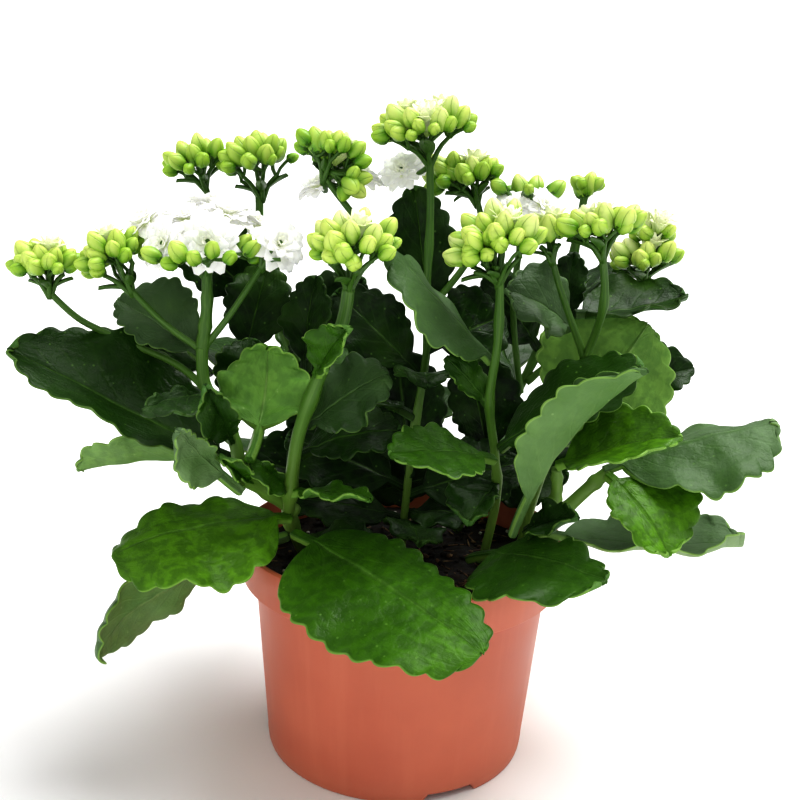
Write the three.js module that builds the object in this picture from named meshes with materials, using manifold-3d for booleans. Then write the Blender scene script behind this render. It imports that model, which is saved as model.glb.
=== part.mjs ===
// Potted kalanchoe: a bushy flowering houseplant in the 12 cm plastic pot it was grown in.
// Millimetres, +Z up, origin on the floor under the middle of the pot, front towards -Y.
import * as THREE from 'three';
import { mergeVertices } from 'three/addons/utils/BufferGeometryUtils.js';
import Module from 'manifold-3d';

const wasm = await Module();
wasm.setup();

// Pot: an injection-moulded tub with a stepped collar and a notched foot ring.
const POT_HEIGHT = 82;
const COLLAR_HEIGHT = 15;
const RIM_RADIUS = 60;
const COLLAR_DRAFT = 1.2;
const SHOULDER_RADIUS = 54;
const BASE_RADIUS = 48.5;
const WALL = 1.6;
const POT_SEGMENTS = 48;
const FOOT_RING_WIDTH = 4;
const FOOT_HEIGHT = 4;
const NOTCH_WIDTH = 20;
const NOTCH_HEIGHT = 3;
const NOTCH_ANGLES = [-65, 55, 175];
const DRAIN_HOLES = 6;
const DRAIN_RADIUS = 4;
const DRAIN_CIRCLE = 28;

// Potting soil: a loose fill that stops short of the rim, as it must for watering.
const SOIL_TOP = 70;
const SOIL_CROWN = 1.2;
const CLEARANCE = 0.3;

// Leaves: thick succulent blades on short round stalks.
const LEAF_THICKNESS = 1.6;
const STALK_THICKNESS = 2.6;
const STALK_HALF_WIDTH = 1.5;
const WIDEST = 0.55;
const BLADE_ROWS = [0.12, 0.34, 0.6, 0.85, 1];
const BLADE_COLUMNS = [-1, -0.5, 0, 0.5, 1];

const plastic = new THREE.MeshStandardMaterial({ color: 0xcf6a4c, roughness: 0.5, metalness: 0 });
const peat = new THREE.MeshStandardMaterial({ color: 0x2a1d14, roughness: 1, metalness: 0 });
const stem = new THREE.MeshStandardMaterial({ color: 0x7fa34a, roughness: 0.55, metalness: 0 });
const foliage = new THREE.MeshStandardMaterial({ color: 0x4c8a2f, roughness: 0.4, metalness: 0 });
const blossom = new THREE.MeshStandardMaterial({ color: 0xdfeaa0, roughness: 0.6, metalness: 0 });

const point = (p) => new THREE.Vector3(...p);
const radians = THREE.MathUtils.degToRad;

function solidOf(geometry) {
  const bare = geometry.clone();
  bare.deleteAttribute('normal');
  bare.deleteAttribute('uv');
  const merged = mergeVertices(bare, 1e-3);
  return new wasm.Manifold(
    new wasm.Mesh({
      numProp: 3,
      vertProperties: merged.attributes.position.array,
      triVerts: new Uint32Array(merged.index.array),
    }),
  );
}

function geometryOf(solid) {
  const mesh = solid.getMesh();
  const geometry = new THREE.BufferGeometry();
  geometry.setAttribute('position', new THREE.BufferAttribute(mesh.vertProperties, 3));
  geometry.setIndex(new THREE.BufferAttribute(mesh.triVerts, 1));
  geometry.computeVertexNormals();
  return geometry;
}

const join = (solids) => solids.reduce((whole, next) => whole.add(next));

function node(name, geometry, material) {
  const mesh = new THREE.Mesh(geometry, material);
  mesh.name = name;
  return mesh;
}

// A turned solid about the vertical axis from a closed run of [radius, height] points.
function turned(profile, segments) {
  const geometry = new THREE.LatheGeometry(
    profile.map(([r, z]) => new THREE.Vector2(r, z)),
    segments,
  );
  return geometry.rotateX(Math.PI / 2);
}

function rod(path, radius) {
  const circle = new THREE.Shape().absarc(0, 0, radius, 0, 2 * Math.PI);
  return new THREE.ExtrudeGeometry(circle, {
    steps: 2 * (path.length - 1),
    curveSegments: 4,
    bevelEnabled: false,
    extrudePath: new THREE.CatmullRomCurve3(path.map(point)),
  });
}

// The pot, its soil ------------------------------------------------------------------

function makePot() {
  const collarFoot = POT_HEIGHT - COLLAR_HEIGHT;
  const collarRadius = RIM_RADIUS - COLLAR_DRAFT;
  const footInner = BASE_RADIUS - FOOT_RING_WIDTH;
  const floorTop = FOOT_HEIGHT + WALL;
  const profile = [
    [0, FOOT_HEIGHT],
    [footInner, FOOT_HEIGHT],
    [footInner + 0.6, 0],
    [BASE_RADIUS - 1.2, 0],
    [BASE_RADIUS, 1.2],
    [SHOULDER_RADIUS, collarFoot],
    [collarRadius, collarFoot],
    [RIM_RADIUS, POT_HEIGHT - 0.8],
    [RIM_RADIUS - 0.8, POT_HEIGHT],
    [RIM_RADIUS - WALL, POT_HEIGHT - 0.4],
    [collarRadius - WALL, collarFoot + WALL],
    [SHOULDER_RADIUS - WALL, collarFoot + WALL - 0.4],
    [BASE_RADIUS - WALL, floorTop + 0.8],
    [BASE_RADIUS - WALL - 0.8, floorTop],
    [0, floorTop],
  ];
  let pot = solidOf(turned(profile, POT_SEGMENTS));
  for (const angle of NOTCH_ANGLES) {
    const notch = new THREE.BoxGeometry(2 * FOOT_RING_WIDTH + 8, NOTCH_WIDTH, 2 * NOTCH_HEIGHT);
    notch.translate(BASE_RADIUS, 0, 0);
    notch.rotateZ(radians(angle));
    pot = pot.subtract(solidOf(notch));
  }
  for (let i = 0; i < DRAIN_HOLES; i += 1) {
    const hole = new THREE.CylinderGeometry(DRAIN_RADIUS, DRAIN_RADIUS, 12, 12);
    hole.rotateX(Math.PI / 2);
    hole.translate(DRAIN_CIRCLE, 0, FOOT_HEIGHT);
    hole.rotateZ((2 * Math.PI * i) / DRAIN_HOLES);
    pot = pot.subtract(solidOf(hole));
  }
  return node('pot', geometryOf(pot), plastic);
}

function makeSoil() {
  const collarInside = RIM_RADIUS - COLLAR_DRAFT - WALL;
  const ledge = POT_HEIGHT - COLLAR_HEIGHT + WALL;
  const floor = FOOT_HEIGHT + WALL + CLEARANCE;
  const profile = [
    [0, floor],
    [BASE_RADIUS - WALL - 1.2, floor],
    [BASE_RADIUS - WALL - CLEARANCE, floor + 1],
    [SHOULDER_RADIUS - WALL - CLEARANCE, ledge - 0.4],
    [SHOULDER_RADIUS - WALL - CLEARANCE, ledge + CLEARANCE],
    [collarInside - CLEARANCE, ledge + CLEARANCE],
    [collarInside - CLEARANCE, SOIL_TOP],
    [25, SOIL_TOP + 0.7 * SOIL_CROWN],
    [0, SOIL_TOP + SOIL_CROWN],
  ];
  return node('potting_soil', turned(profile, POT_SEGMENTS), peat);
}

// Leaves -------------------------------------------------------------------------------

// Each leaf by its name, the foot of its stalk, its tip, its right and left margins at the
// widest place (seen from above, tip pointing away), the arch of its midrib and the share
// of its length that is bare stalk.
const LEAVES = [
  ['left_long', [-61, -30, 118], [-130, -34, 155], [-105, -10, 160], [-97, -48, 133], -3, 0.1],
  ['left_behind', [-63, -12, 112], [-118, -6, 104], [-103, 10, 101], [-96, -18, 118], 2, 0.2],
  ['front_left', [-45, -24, 94], [-94, -50, 92], [-74, -22, 96], [-59, -62, 81], 3, 0.06],
  ['low_left', [-46, -20, 88], [-104, -46, 58], [-86, -32, 46], [-96, -52, 78], 5, 0.45],
  ['front_centre', [-37, -30, 87], [24, -86, 79], [-28, -80, 72], [16, -54, 90], 4, 0.1],
  ['front_right', [26, -16, 80], [64, -62, 93], [37, -74, 83], [58, -38, 94], 4, 0.25],
  ['right_low', [60, -8, 88], [122, -12, 88], [90, -30, 90], [92, 16, 91], -3, 0.1],
  ['right_ribbed', [74, -12, 115], [130, -8, 132], [96, -34, 106], [108, 16, 118], 2, 0.1],
  ['right_drooping', [73, -19, 110], [89, -39, 93], [69, -35, 101], [106, -23, 101], 3, 0.1],
  ['right_bright', [54, -24, 119], [89, -38, 134], [67, -51, 124], [71, -21, 136], 2, 0.06],
  ['right_folded', [37, -40, 95], [72, -54, 160], [47, -54, 142], [56, -42, 145], 6, 0.25],
  ['right_scalloped', [35, -21, 124], [76, -28, 156], [63, -33, 133], [46, -5, 141], 3, 0.06],
  ['centre_front', [26, -27, 119], [-5, -52, 129], [10, -26, 129], [11, -58, 121], 2, 0.12],
  ['right_upper', [63, 6, 122], [85, 9, 162], [42, 15, 148], [110, 13, 154], -3, 0.08],
  ['right_top', [58, 6, 167], [99, 14, 172], [74, -8, 169], [79, 28, 178], -2, 0.08],
  ['right_back', [76, 32, 127], [110, 34, 141], [95, 26, 128], [93, 38, 150], 3, 0.15],
  ['centre_right', [54, 4, 161], [32, -8, 175], [46, 6, 183], [40, -16, 162], 3, 0.1],
  ['back_right_top', [58, 24, 160], [60, 30, 184], [66, 24, 175], [52, 30, 174], 2, 0.12],
  ['centre_grey', [25, -26, 156], [-8, -40, 192], [-4, -52, 173], [8, -14, 174], 0, 0.08],
  ['back_upright', [6, 18, 164], [-1, 14, 207], [15, 12, 191], [-12, 10, 192], 2, 0.1],
  ['left_rolled', [-52, -48, 128], [-48, -16, 151], [-66, -34, 149], [-30, -33, 149], 8, 0.4],
  ['left_rolled_behind', [-60, -12, 126], [-56, -2, 153], [-44, -8, 149], [-68, -12, 145], 2, 0.15],
  ['centre_rolled', [-29, -50, 153], [-19, -60, 170], [-20, -62, 162], [-32, -50, 164], 2, 0.12],
  ['dark_left', [-73, 0, 140], [-98, 10, 155], [-87, 18, 154], [-88, -10, 135], 3, 0.12],
  ['dark_back_left', [-63, 10, 144], [-53, 20, 177], [-42, 14, 165], [-68, 14, 167], 3, 0.12],
  ['dark_centre_left', [-37, 2, 143], [-34, 6, 175], [-26, -2, 163], [-45, 6, 160], 3, 0.12],
  ['centre_upper', [-31, -27, 130], [-8, -38, 151], [-10, -42, 135], [-24, -20, 149], 2, 0.1],
  ['centre_large', [-34, -22, 118], [-2, -24, 128], [-18, -34, 117], [-21, -4, 129], 3, 0.1],
  ['centre_small', [-35, -31, 106], [-11, -52, 114], [-22, -54, 112], [-22, -35, 110], 1, 0.1],
  ['left_upright', [-57, -43, 109], [-72, -56, 135], [-62, -47, 127], [-71, -60, 120], -2, 0.35],
  ['left_dark_small', [-59, -40, 128], [-63, -54, 149], [-55, -48, 141], [-67, -56, 139], 2, 0.15],
  ['left_dull', [-69, -34, 139], [-82, -56, 141], [-78, -44, 142], [-72, -60, 137], 2, 0.12],
  ['left_grey', [-72, -16, 149], [-102, -6, 166], [-92, 2, 178], [-91, -20, 152], 2, 0.15],
  ['right_rim', [45, -21, 93], [58, -36, 104], [50, -42, 99], [52, -24, 104], 2, 0.15],
  ['back_left_low', [-30, 36, 86], [-70, 93, 86], [-33, 80, 88], [-72, 54, 88], 6, 0.15],
  ['back_right_low', [34, 38, 86], [72, 93, 90], [74, 58, 92], [37, 80, 92], 6, 0.15],
];

// Half the width of a leaf at a share of its length: the stalk, then a rounded blade.
function halfWidth(along, stalk, widest) {
  if (along <= stalk) return STALK_HALF_WIDTH;
  const q = (along - stalk) / (1 - stalk);
  const outline = Math.sin(Math.PI * q) ** (0.68 - 0.2 * q);
  return Math.max(widest * outline, STALK_HALF_WIDTH * (1 - 0.5 * q));
}

// The middle surface of a leaf as a function of two shares, along and across.
function leafSurface([, root, tip, right, left, arch, stalk]) {
  const start = point(root);
  const chord = point(tip).sub(start);
  const forward = chord.clone().normalize();
  const [toRight, toLeft] = [right, left].map((margin) => {
    const half = point(margin).sub(start).addScaledVector(chord, -WIDEST);
    return half.addScaledVector(forward, -half.dot(forward));
  });
  const up = toRight.clone().sub(toLeft).cross(forward).normalize();
  return (along, across) => {
    const half = across > 0 ? toRight : toLeft;
    const share = (halfWidth(along, stalk, half.length()) / half.length()) * Math.abs(across);
    return start
      .clone()
      .addScaledVector(chord, along)
      .addScaledVector(half, share)
      .addScaledVector(up, arch * 4 * along * (1 - along));
  };
}

// The upward direction of a leaf at its midrib. One direction serves a whole row of the blade,
// so the two skins of a folded leaf don't cross.
function midribNormal(surface, along) {
  const step = 0.02;
  const a = Math.min(Math.max(along, step), 1 - step);
  const forward = surface(a + step, 0).sub(surface(a - step, 0));
  const right = surface(a, step).sub(surface(a, -step));
  return right.cross(forward).normalize();
}

// The blade and stalk as one closed solid: an upper and a lower skin and the rim between.
function leafGeometry(leaf) {
  const surface = leafSurface(leaf);
  const stalk = leaf.at(-1);
  const rows = [0, 0.7 * stalk, ...BLADE_ROWS.map((q) => stalk + (1 - stalk) * q)];
  const columns = BLADE_COLUMNS.length;
  const skins = [0.5, -0.5].map((sideOfMiddle) =>
    rows.flatMap((along) =>
      BLADE_COLUMNS.map((across) => {
        const bare = Math.min(1, Math.max(0, 1 - (along - stalk) / 0.15));
        const thickness = LEAF_THICKNESS + (STALK_THICKNESS - LEAF_THICKNESS) * bare;
        const normal = midribNormal(surface, along);
        return surface(along, across).addScaledVector(normal, sideOfMiddle * thickness);
      }),
    ),
  );
  const upper = (row, column) => row * columns + column;
  const lower = (row, column) => rows.length * columns + upper(row, column);
  const faces = [];
  const quad = (a, b, c, d) => faces.push(a, b, c, a, c, d);
  const lastRow = rows.length - 1;
  const lastColumn = columns - 1;
  for (let r = 0; r < lastRow; r += 1) {
    for (let c = 0; c < lastColumn; c += 1) {
      quad(upper(r, c), upper(r, c + 1), upper(r + 1, c + 1), upper(r + 1, c));
      quad(lower(r, c), lower(r + 1, c), lower(r + 1, c + 1), lower(r, c + 1));
    }
    quad(upper(r, 0), upper(r + 1, 0), lower(r + 1, 0), lower(r, 0));
    quad(upper(r, lastColumn), lower(r, lastColumn), lower(r + 1, lastColumn), upper(r + 1, lastColumn));
  }
  for (let c = 0; c < lastColumn; c += 1) {
    quad(upper(0, c), lower(0, c), lower(0, c + 1), upper(0, c + 1));
    quad(upper(lastRow, c), upper(lastRow, c + 1), lower(lastRow, c + 1), lower(lastRow, c));
  }
  const geometry = new THREE.BufferGeometry().setFromPoints(skins.flat());
  geometry.setIndex(faces);
  geometry.computeVertexNormals();
  return geometry;
}

// Shoots: fleshy stems from the soil up, with their flower stalks and inner leaves --------

// Each stalk is a radius and a path; the inner leaves are rows like those of LEAVES.
const SHOOTS = {
  shoot_left: {
    stalks: [
      [2.5, [[-34, -4, 73], [-40, -18, 92], [-39, -28, 106], [-36, -34, 128], [-29, -40, 150],
        [-22, -45, 168], [-20, -48, 178]]],
      [2.5, [[-39, -22, 98], [-47, -28, 106], [-54, -34, 113], [-57, -33, 124], [-61, -31, 132],
        [-68, -28, 143], [-69, -27, 155]]],
      [2.1, [[-69, -27, 153], [-67.5, -26, 168], [-67.6, -25, 177]]],
      [1.2, [[-69, -27, 154], [-82, -24, 162], [-92, -22, 170]]],
      [1.2, [[-69, -27, 154], [-60, -25, 166], [-50, -22, 180]]],
      [1.2, [[-67, -29, 141], [-80, -18, 147], [-100, -14, 154], [-112, -18, 161], [-120, -20, 167]]],
    ],
    leaves: [
      ['inner', [-39, -26, 106], [-51, -40, 121], [-48, -36, 120], [-49, -42, 112], 1, 0.1],
      ['inner', [-52, -33, 111], [-60, -47, 124], [-52, -44, 122], [-58, -46, 120], 1, 0.1],
      ['low', [-36, -8, 80], [-10, -22, 86], [-26, -26, 80], [-19, -8, 86], 2, 0.15],
    ],
  },
  shoot_centre: {
    stalks: [
      [1.6, [[0, 12, 73], [2, 8, 110], [6, 4, 150], [5, 2, 172], [5, 4, 198], [4, 8, 214]]],
      [1.4, [[5, 2, 170], [-8, -3, 184], [-20, -6, 197], [-30, -6, 206.5]]],
      [1.3, [[6, 4, 165], [18, 10, 180], [24, 18, 192], [22, 22, 200]]],
    ],
    leaves: [
      ['back', [2, 9, 108], [6, 64, 124], [21, 40, 118], [-13, 40, 118], 4, 0.15],
      ['left', [3, 6, 124], [-30, 20, 128], [-9, 27, 129], [-21, 1, 129], 3, 0.15],
      ['front', [5, 4, 138], [6, -22, 145], [-6, -12, 142], [17, -12, 142], 3, 0.15],
      ['low left', [1, 11, 95], [-45, 16, 112], [-19, 24, 117], [-30, 4, 92], 3, 0.15],
      ['low right', [1, 11, 92], [44, 20, 104], [30, 6, 87], [19, 25, 110], 3, 0.15],
      ['lowest', [0, 12, 82], [-44, 6, 91], [-24, 22, 93], [-22, -4, 81], 2, 0.15],
      ['low front', [0, 11, 81], [6, -26, 88], [-8, -11, 87], [15, -8, 83], 2, 0.15],
      ['high left', [4, 5.5, 140], [-28, 14, 168], [-4, 16, 164], [-23, 5, 146], 3, 0.15],
      ['middle', [2, 9, 100], [-5, 20, 148], [15, 23, 126], [-23, 20, 124], 3, 0.1],
      ['low front right', [1, 12, 84], [24, 2, 88], [12, -8, 84], [16, 14, 88], 2, 0.15],
      ['high right', [6, 4.5, 150], [34, 16, 162], [27, 6, 144], [15, 16, 172], 3, 0.15],
    ],
  },
  shoot_centre_right: {
    stalks: [
      [1.7, [[30, 0, 73], [33, -10, 100], [31, -17, 118], [27, -27, 140], [28, -32, 162],
        [27.5, -32, 179]]],
    ],
    leaves: [
      ['inner', [27, -26, 139], [12, -28, 155], [24, -22, 151], [14, -26, 146], 1, 0.1],
      ['inner', [32, -14, 106], [22, -36, 100], [14, -22, 104], [31, -30, 103], 2, 0.1],
    ],
  },
  shoot_right: {
    stalks: [
      [1.6, [[44, 10, 73], [52, 6, 110], [58, 2, 138], [62, -8, 156], [63.5, -20, 174],
        [61, -24, 188]]],
      [1.4, [[61, -5, 152], [51, -11, 174], [46, -14, 185]]],
    ],
    leaves: [],
  },
  shoot_right_low: {
    stalks: [
      [2.4, [[40, -8, 73.5], [48, -12, 86], [57, -12, 97], [66, -12, 107], [70, -11, 112]]],
      [1.9, [[50, -12, 90], [53, -18, 104], [52, -21, 114]]],
    ],
    leaves: [],
  },
  shoot_back_left: {
    stalks: [
      [1.8, [[-20, 28, 73], [-35, 30, 120], [-55, 30, 165], [-58, 30, 198]]],
      [1.4, [[-55, 30, 168], [-72, 30, 188], [-78, 30, 201]]],
    ],
    leaves: [
      ['side', [-36, 31, 118], [-94, 58, 138], [-60, 62, 131], [-76, 30, 131], 4, 0.15],
      ['back', [-38, 31, 124], [-34, 86, 146], [-19, 62, 138], [-55, 66, 138], 4, 0.15],
      ['upper', [-50, 31, 150], [-88, 42, 176], [-67, 50, 166], [-75, 24, 166], 3, 0.15],
      ['low', [-24, 29, 88], [-62, 22, 100], [-43, 37, 107], [-46, 13, 83], 3, 0.15],
      ['low back', [-22.5, 28.3, 84], [14, 43, 91], [-5, 34, 79], [-5, 38, 101], 3, 0.12],
      ['middle', [-29, 29, 103], [-36, 26, 142], [-27, 28, 124], [-50, 25, 122], 3, 0.12],
      ['front', [-46, 30, 142], [-18, 22, 172], [-20, 22, 148], [-41, 29, 169], 3, 0.15],
      ['high', [-56, 30, 160], [-88, 18, 190], [-65, 27, 186], [-81, 20, 167], 3, 0.15],
    ],
  },
  shoot_back_right: {
    stalks: [
      [1.8, [[22, 32, 73], [40, 36, 120], [58, 40, 165], [65, 48, 202]]],
      [1.4, [[44, 36, 128], [38, 26, 165], [40, 20, 198]]],
      [1.4, [[46, 36, 132], [68, 38, 152], [87.5, 34, 170]]],
    ],
    leaves: [
      ['side', [31, 35, 98], [96, 58, 108], [75, 31, 105], [61, 65, 105], 4, 0.2],
      ['back', [45, 38, 130], [26, 86, 150], [51, 73, 143], [19, 59, 143], 4, 0.15],
      ['upper', [57, 41, 158], [92, 58, 176], [81, 39, 170], [71, 63, 170], 3, 0.15],
      ['low', [27, 33, 88], [64, 28, 98], [48, 20, 83], [46, 41, 104], 3, 0.15],
      ['middle', [33, 34.5, 102], [21, 28, 146], [44, 30, 130], [14, 27, 128], 3, 0.1],
      ['front', [50, 38, 145], [28, 30, 174], [48, 38, 170], [28, 30, 152], 3, 0.15],
    ],
  },
};

function makeShoot([name, { stalks, leaves }]) {
  const pieces = [
    ...stalks.map(([radius, path]) => solidOf(rod(path, radius))),
    ...leaves.map((leaf) => solidOf(leafGeometry(leaf))),
  ];
  return node(name, geometryOf(join(pieces)), stem);
}

// Flower heads: umbels of buds and double flowers ----------------------------------------

// Each umbel: where its short bud stalks meet, the top of its dome, and the dome's radius.
const HEADS = {
  head_far_left: [[[-121, -20, 169], [-122, -20, 187], 9.5]],
  head_left: [[[-93, -22, 171], [-104, -22, 190], 9]],
  head_left_white: [
    [[-68, -25, 178], [-70, -22, 203], 15],
    [[-79, -19, 184], [-93, -10, 204], 9],
  ],
  head_left_inner: [[[-50, -22, 181], [-43, -20, 200], 10]],
  head_back_left: [
    [[-57, 30, 199], [-62, 30, 224], 13],
    [[-78, 30, 202], [-84, 29, 220], 11],
  ],
  head_back_centre: [
    [[-31.5, -6, 209], [-26, 0, 225], 11],
    [[-29, -6, 212], [-16, -9, 207], 6],
  ],
  head_top: [[[4, 8, 215], [0, 8, 237], 15]],
  head_back_right: [
    [[22, 22, 201], [17, 24, 219], 10],
    [[20, 23, 204], [3, 27, 215], 8],
  ],
  head_back_far_right: [[[40, 20, 199], [40, 22, 214], 12]],
  head_front: [[[-20, -48, 179], [-20, -52, 204], 13]],
  head_front_right: [
    [[27, -32, 180], [27, -34, 207], 12],
    [[26, -33, 182], [14, -36, 199], 9],
  ],
  head_right_inner: [[[46, -14, 186], [42, -12, 203], 7.5]],
  head_right: [[[61, -24, 189], [58, -22, 207], 11]],
  head_right_low: [
    [[88, 34, 172], [85, 34, 191], 12],
    [[90, 36, 180], [90, 38, 201], 9],
  ],
  head_far_back: [[[65, 48, 203], [65, 50, 213], 6]],
};

// A dome of buds over a cone of bud stalks, rippled as the packed buds make it.
function umbelGeometry([base, crown, radius]) {
  const axis = point(crown).sub(point(base));
  const height = axis.length();
  const profile = [[0, 0], [1.6, 0], [0.4 * radius, 0.2], [0.85 * radius, 0.42], [radius, 0.62],
    [0.8 * radius, 0.86], [0.42 * radius, 0.97], [0, 1]].map(([r, share]) => [r, share * height]);
  const geometry = turned(profile, 10);
  const place = geometry.attributes.position;
  const spot = new THREE.Vector3();
  for (let i = 0; i < place.count; i += 1) {
    spot.fromBufferAttribute(place, i);
    const ring = Math.round((5 * spot.z) / height);
    const ripple = spot.z > 0 ? 1 + 0.1 * Math.cos(5 * Math.atan2(spot.y, spot.x) + Math.PI * ring) : 1;
    place.setXYZ(i, spot.x * ripple, spot.y * ripple, spot.z);
  }
  const turn = new THREE.Quaternion().setFromUnitVectors(
    new THREE.Vector3(0, 0, 1),
    axis.normalize(),
  );
  geometry.applyQuaternion(turn);
  return geometry.translate(...base);
}

function makeHead([name, umbels]) {
  return node(name, geometryOf(join(umbels.map((u) => solidOf(umbelGeometry(u))))), blossom);
}

const plant = new THREE.Group();
plant.name = 'potted_kalanchoe';
plant.add(makePot(), makeSoil());
plant.add(...Object.entries(SHOOTS).map(makeShoot));
plant.add(...LEAVES.map((leaf) => node(`leaf_${leaf[0]}`, leafGeometry(leaf), foliage)));
plant.add(...Object.entries(HEADS).map(makeHead));

export default plant;
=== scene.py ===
import math
import random

import bmesh
import bpy
from mathutils import Matrix, Vector, noise


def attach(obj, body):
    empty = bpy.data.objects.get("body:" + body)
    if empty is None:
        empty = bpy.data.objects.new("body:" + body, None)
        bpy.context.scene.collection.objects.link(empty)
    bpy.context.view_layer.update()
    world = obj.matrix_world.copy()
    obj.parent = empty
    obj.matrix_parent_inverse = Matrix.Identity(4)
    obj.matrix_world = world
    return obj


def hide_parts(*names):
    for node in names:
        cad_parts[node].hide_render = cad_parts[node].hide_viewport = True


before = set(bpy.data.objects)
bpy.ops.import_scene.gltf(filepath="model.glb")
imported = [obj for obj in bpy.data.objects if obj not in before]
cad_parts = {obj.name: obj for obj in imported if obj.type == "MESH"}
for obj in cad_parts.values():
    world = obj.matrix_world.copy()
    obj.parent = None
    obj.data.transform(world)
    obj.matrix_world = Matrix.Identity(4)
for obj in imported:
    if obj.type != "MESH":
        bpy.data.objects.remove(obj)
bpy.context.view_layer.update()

# Pot -----------------------------------------------------------------------------------
# A round nursery pot of terracotta-coloured polypropylene, injection moulded in one piece.
# It has a tapered wall, a stepped collar, and a foot ring with three drain notches; six
# drain holes go through its floor.

MM = 0.001
POT_STEPS = 144
FOOT_RADIUS = 48.5
FOOT_INNER = 40
FOOT_HEIGHT = 2
NOTCH_HALF_WIDTH = 10
NOTCH_TOP = 3
NOTCH_ANGLES = (-65, 55, 175)
DRAIN_HOLES = 6
DRAIN_RADIUS = 4
DRAIN_CIRCLE = 28
DRILL_LENGTH = 12
FLOOR_LEVEL = 5
POT_PROFILE = (
    (0, 4),
    (30, 4),
    (44.5, 4),
    (45.1, 0),
    (47.3, 0),
    (48.2, 0.3),
    (48.5, 1.2),
    (48.85, 4),
    (48.75, 4.3),
    (51.2, 34),
    (53.8, 65),
    (54, 67),
    (58.4, 67),
    (58.8, 67.5),
    (59.9, 80.4),
    (59.9, 81.3),
    (59.2, 82),
    (58.6, 81.9),
    (58.3, 81.2),
    (57.2, 68.6),
    (52.4, 68.2),
    (47.2, 7),
    (46, 5.6),
    (30, 5.6),
    (0, 5.6),
)


def add_node(tree, kind, inputs, **settings):
    """Adds a shader node, gives its sockets numbers or links, and returns it."""
    node = tree.nodes.new(kind)
    for name, value in settings.items():
        setattr(node, name, value)
    for name, value in inputs.items():
        if isinstance(value, bpy.types.NodeSocket):
            tree.links.new(value, node.inputs[name])
        else:
            node.inputs[name].default_value = value
    return node


def ramp(tree, factor, stops, interpolation="LINEAR"):
    """A colour ramp through (position, colour) stops."""
    node = add_node(tree, "ShaderNodeValToRGB", {"Fac": factor})
    node.color_ramp.interpolation = interpolation
    elements = node.color_ramp.elements
    while len(elements) < len(stops):
        elements.new(0.5)
    for element, (position, colour) in zip(elements, stops):
        element.position = position
        element.color = (*colour, 1)
    return node.outputs["Color"]


def mix_colours(tree, factor, first, second, blend="MIX"):
    """A blend of two colours; each is a socket or a plain colour."""
    node = tree.nodes.new("ShaderNodeMix")
    node.data_type = "RGBA"
    node.blend_type = blend
    for place, value in ((0, factor), (6, first), (7, second)):
        if isinstance(value, bpy.types.NodeSocket):
            tree.links.new(value, node.inputs[place])
        elif place == 0:
            node.inputs[0].default_value = value
        else:
            node.inputs[place].default_value = (*value, 1)
    return node.outputs[2]


def math_node(tree, operation, first, second=0.0, clamp=False):
    """One Math node; each term is a socket or a number."""
    node = add_node(tree, "ShaderNodeMath", {0: first, 1: second}, operation=operation)
    node.use_clamp = clamp
    return node.outputs[0]


def fade(tree, value, low, high, low_out=0.0, high_out=1.0):
    """Takes value from low..high to low_out..high_out, smoothly and no further."""
    node = add_node(
        tree,
        "ShaderNodeMapRange",
        {"Value": value, 1: low, 2: high, 3: low_out, 4: high_out},
        interpolation_type="SMOOTHSTEP",
    )
    return node.outputs["Result"]


def noise_value(tree, place, scale, detail):
    """A soft noise read at a place, from 0 to 1."""
    inputs = {"Vector": place, "Scale": scale, "Detail": detail}
    return add_node(tree, "ShaderNodeTexNoise", inputs).outputs["Fac"]


def stretched(tree, place, scale):
    """A place scaled along each axis, which draws a noise out into streaks."""
    return add_node(tree, "ShaderNodeMapping", {"Vector": place, "Scale": scale}).outputs["Vector"]


def new_material(name):
    """A material with its node tree and its Principled shader."""
    material = bpy.data.materials.new(name)
    material.use_nodes = True
    return material, material.node_tree, material.node_tree.nodes["Principled BSDF"]


def finish_skin(tree, shader, tint, roughness, relief, strength, depth):
    """Gives a shader its colour, its roughness and a bump from the relief."""
    tree.links.new(tint, shader.inputs["Base Color"])
    tree.links.new(roughness, shader.inputs["Roughness"])
    inputs = {"Height": relief, "Strength": strength, "Distance": depth}
    bump = add_node(tree, "ShaderNodeBump", inputs)
    tree.links.new(bump.outputs["Normal"], shader.inputs["Normal"])


def let_light_in(shader, weight, radius):
    """Lets a little light spread under the skin."""
    shader.inputs["Subsurface Weight"].default_value = weight
    shader.inputs["Subsurface Radius"].default_value = radius


def finish_mesh(bm, name):
    """Turns a bmesh into a mesh and lets the bmesh go."""
    mesh = bpy.data.meshes.new(name)
    bm.to_mesh(mesh)
    bm.free()
    return mesh


def faces_of(verts):
    """The faces that meet at any of the vertices."""
    return {face for vert in verts for face in vert.link_faces}


def show_piece(name, mesh, nodes, materials):
    """Puts a finished mesh into the scene in place of its CAD nodes."""
    for material in materials:
        mesh.materials.append(material)
    mesh.shade_smooth()
    piece = bpy.data.objects.new(name, mesh)
    bpy.context.collection.objects.link(piece)
    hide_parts(*nodes)
    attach(piece, "root")
    return piece


def spin_profile(bm, profile, steps):
    """Spins a run of (radius, height) points in millimetres into a closed solid."""
    points = [bm.verts.new((r * MM, 0, z * MM)) for r, z in profile]
    edges = [bm.edges.new(pair) for pair in zip(points, points[1:])]
    bmesh.ops.spin(
        bm,
        geom=points + edges,
        axis=(0, 0, 1),
        cent=(0, 0, 0),
        angle=2 * math.pi,
        steps=steps,
        use_merge=True,
    )
    bmesh.ops.remove_doubles(bm, verts=bm.verts, dist=1e-6)
    bmesh.ops.recalc_face_normals(bm, faces=bm.faces)


def turn_gap(angle, centre):
    """How far one angle is from another, in degrees, from 0 to 180."""
    return abs((angle - centre + 180) % 360 - 180)


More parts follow.
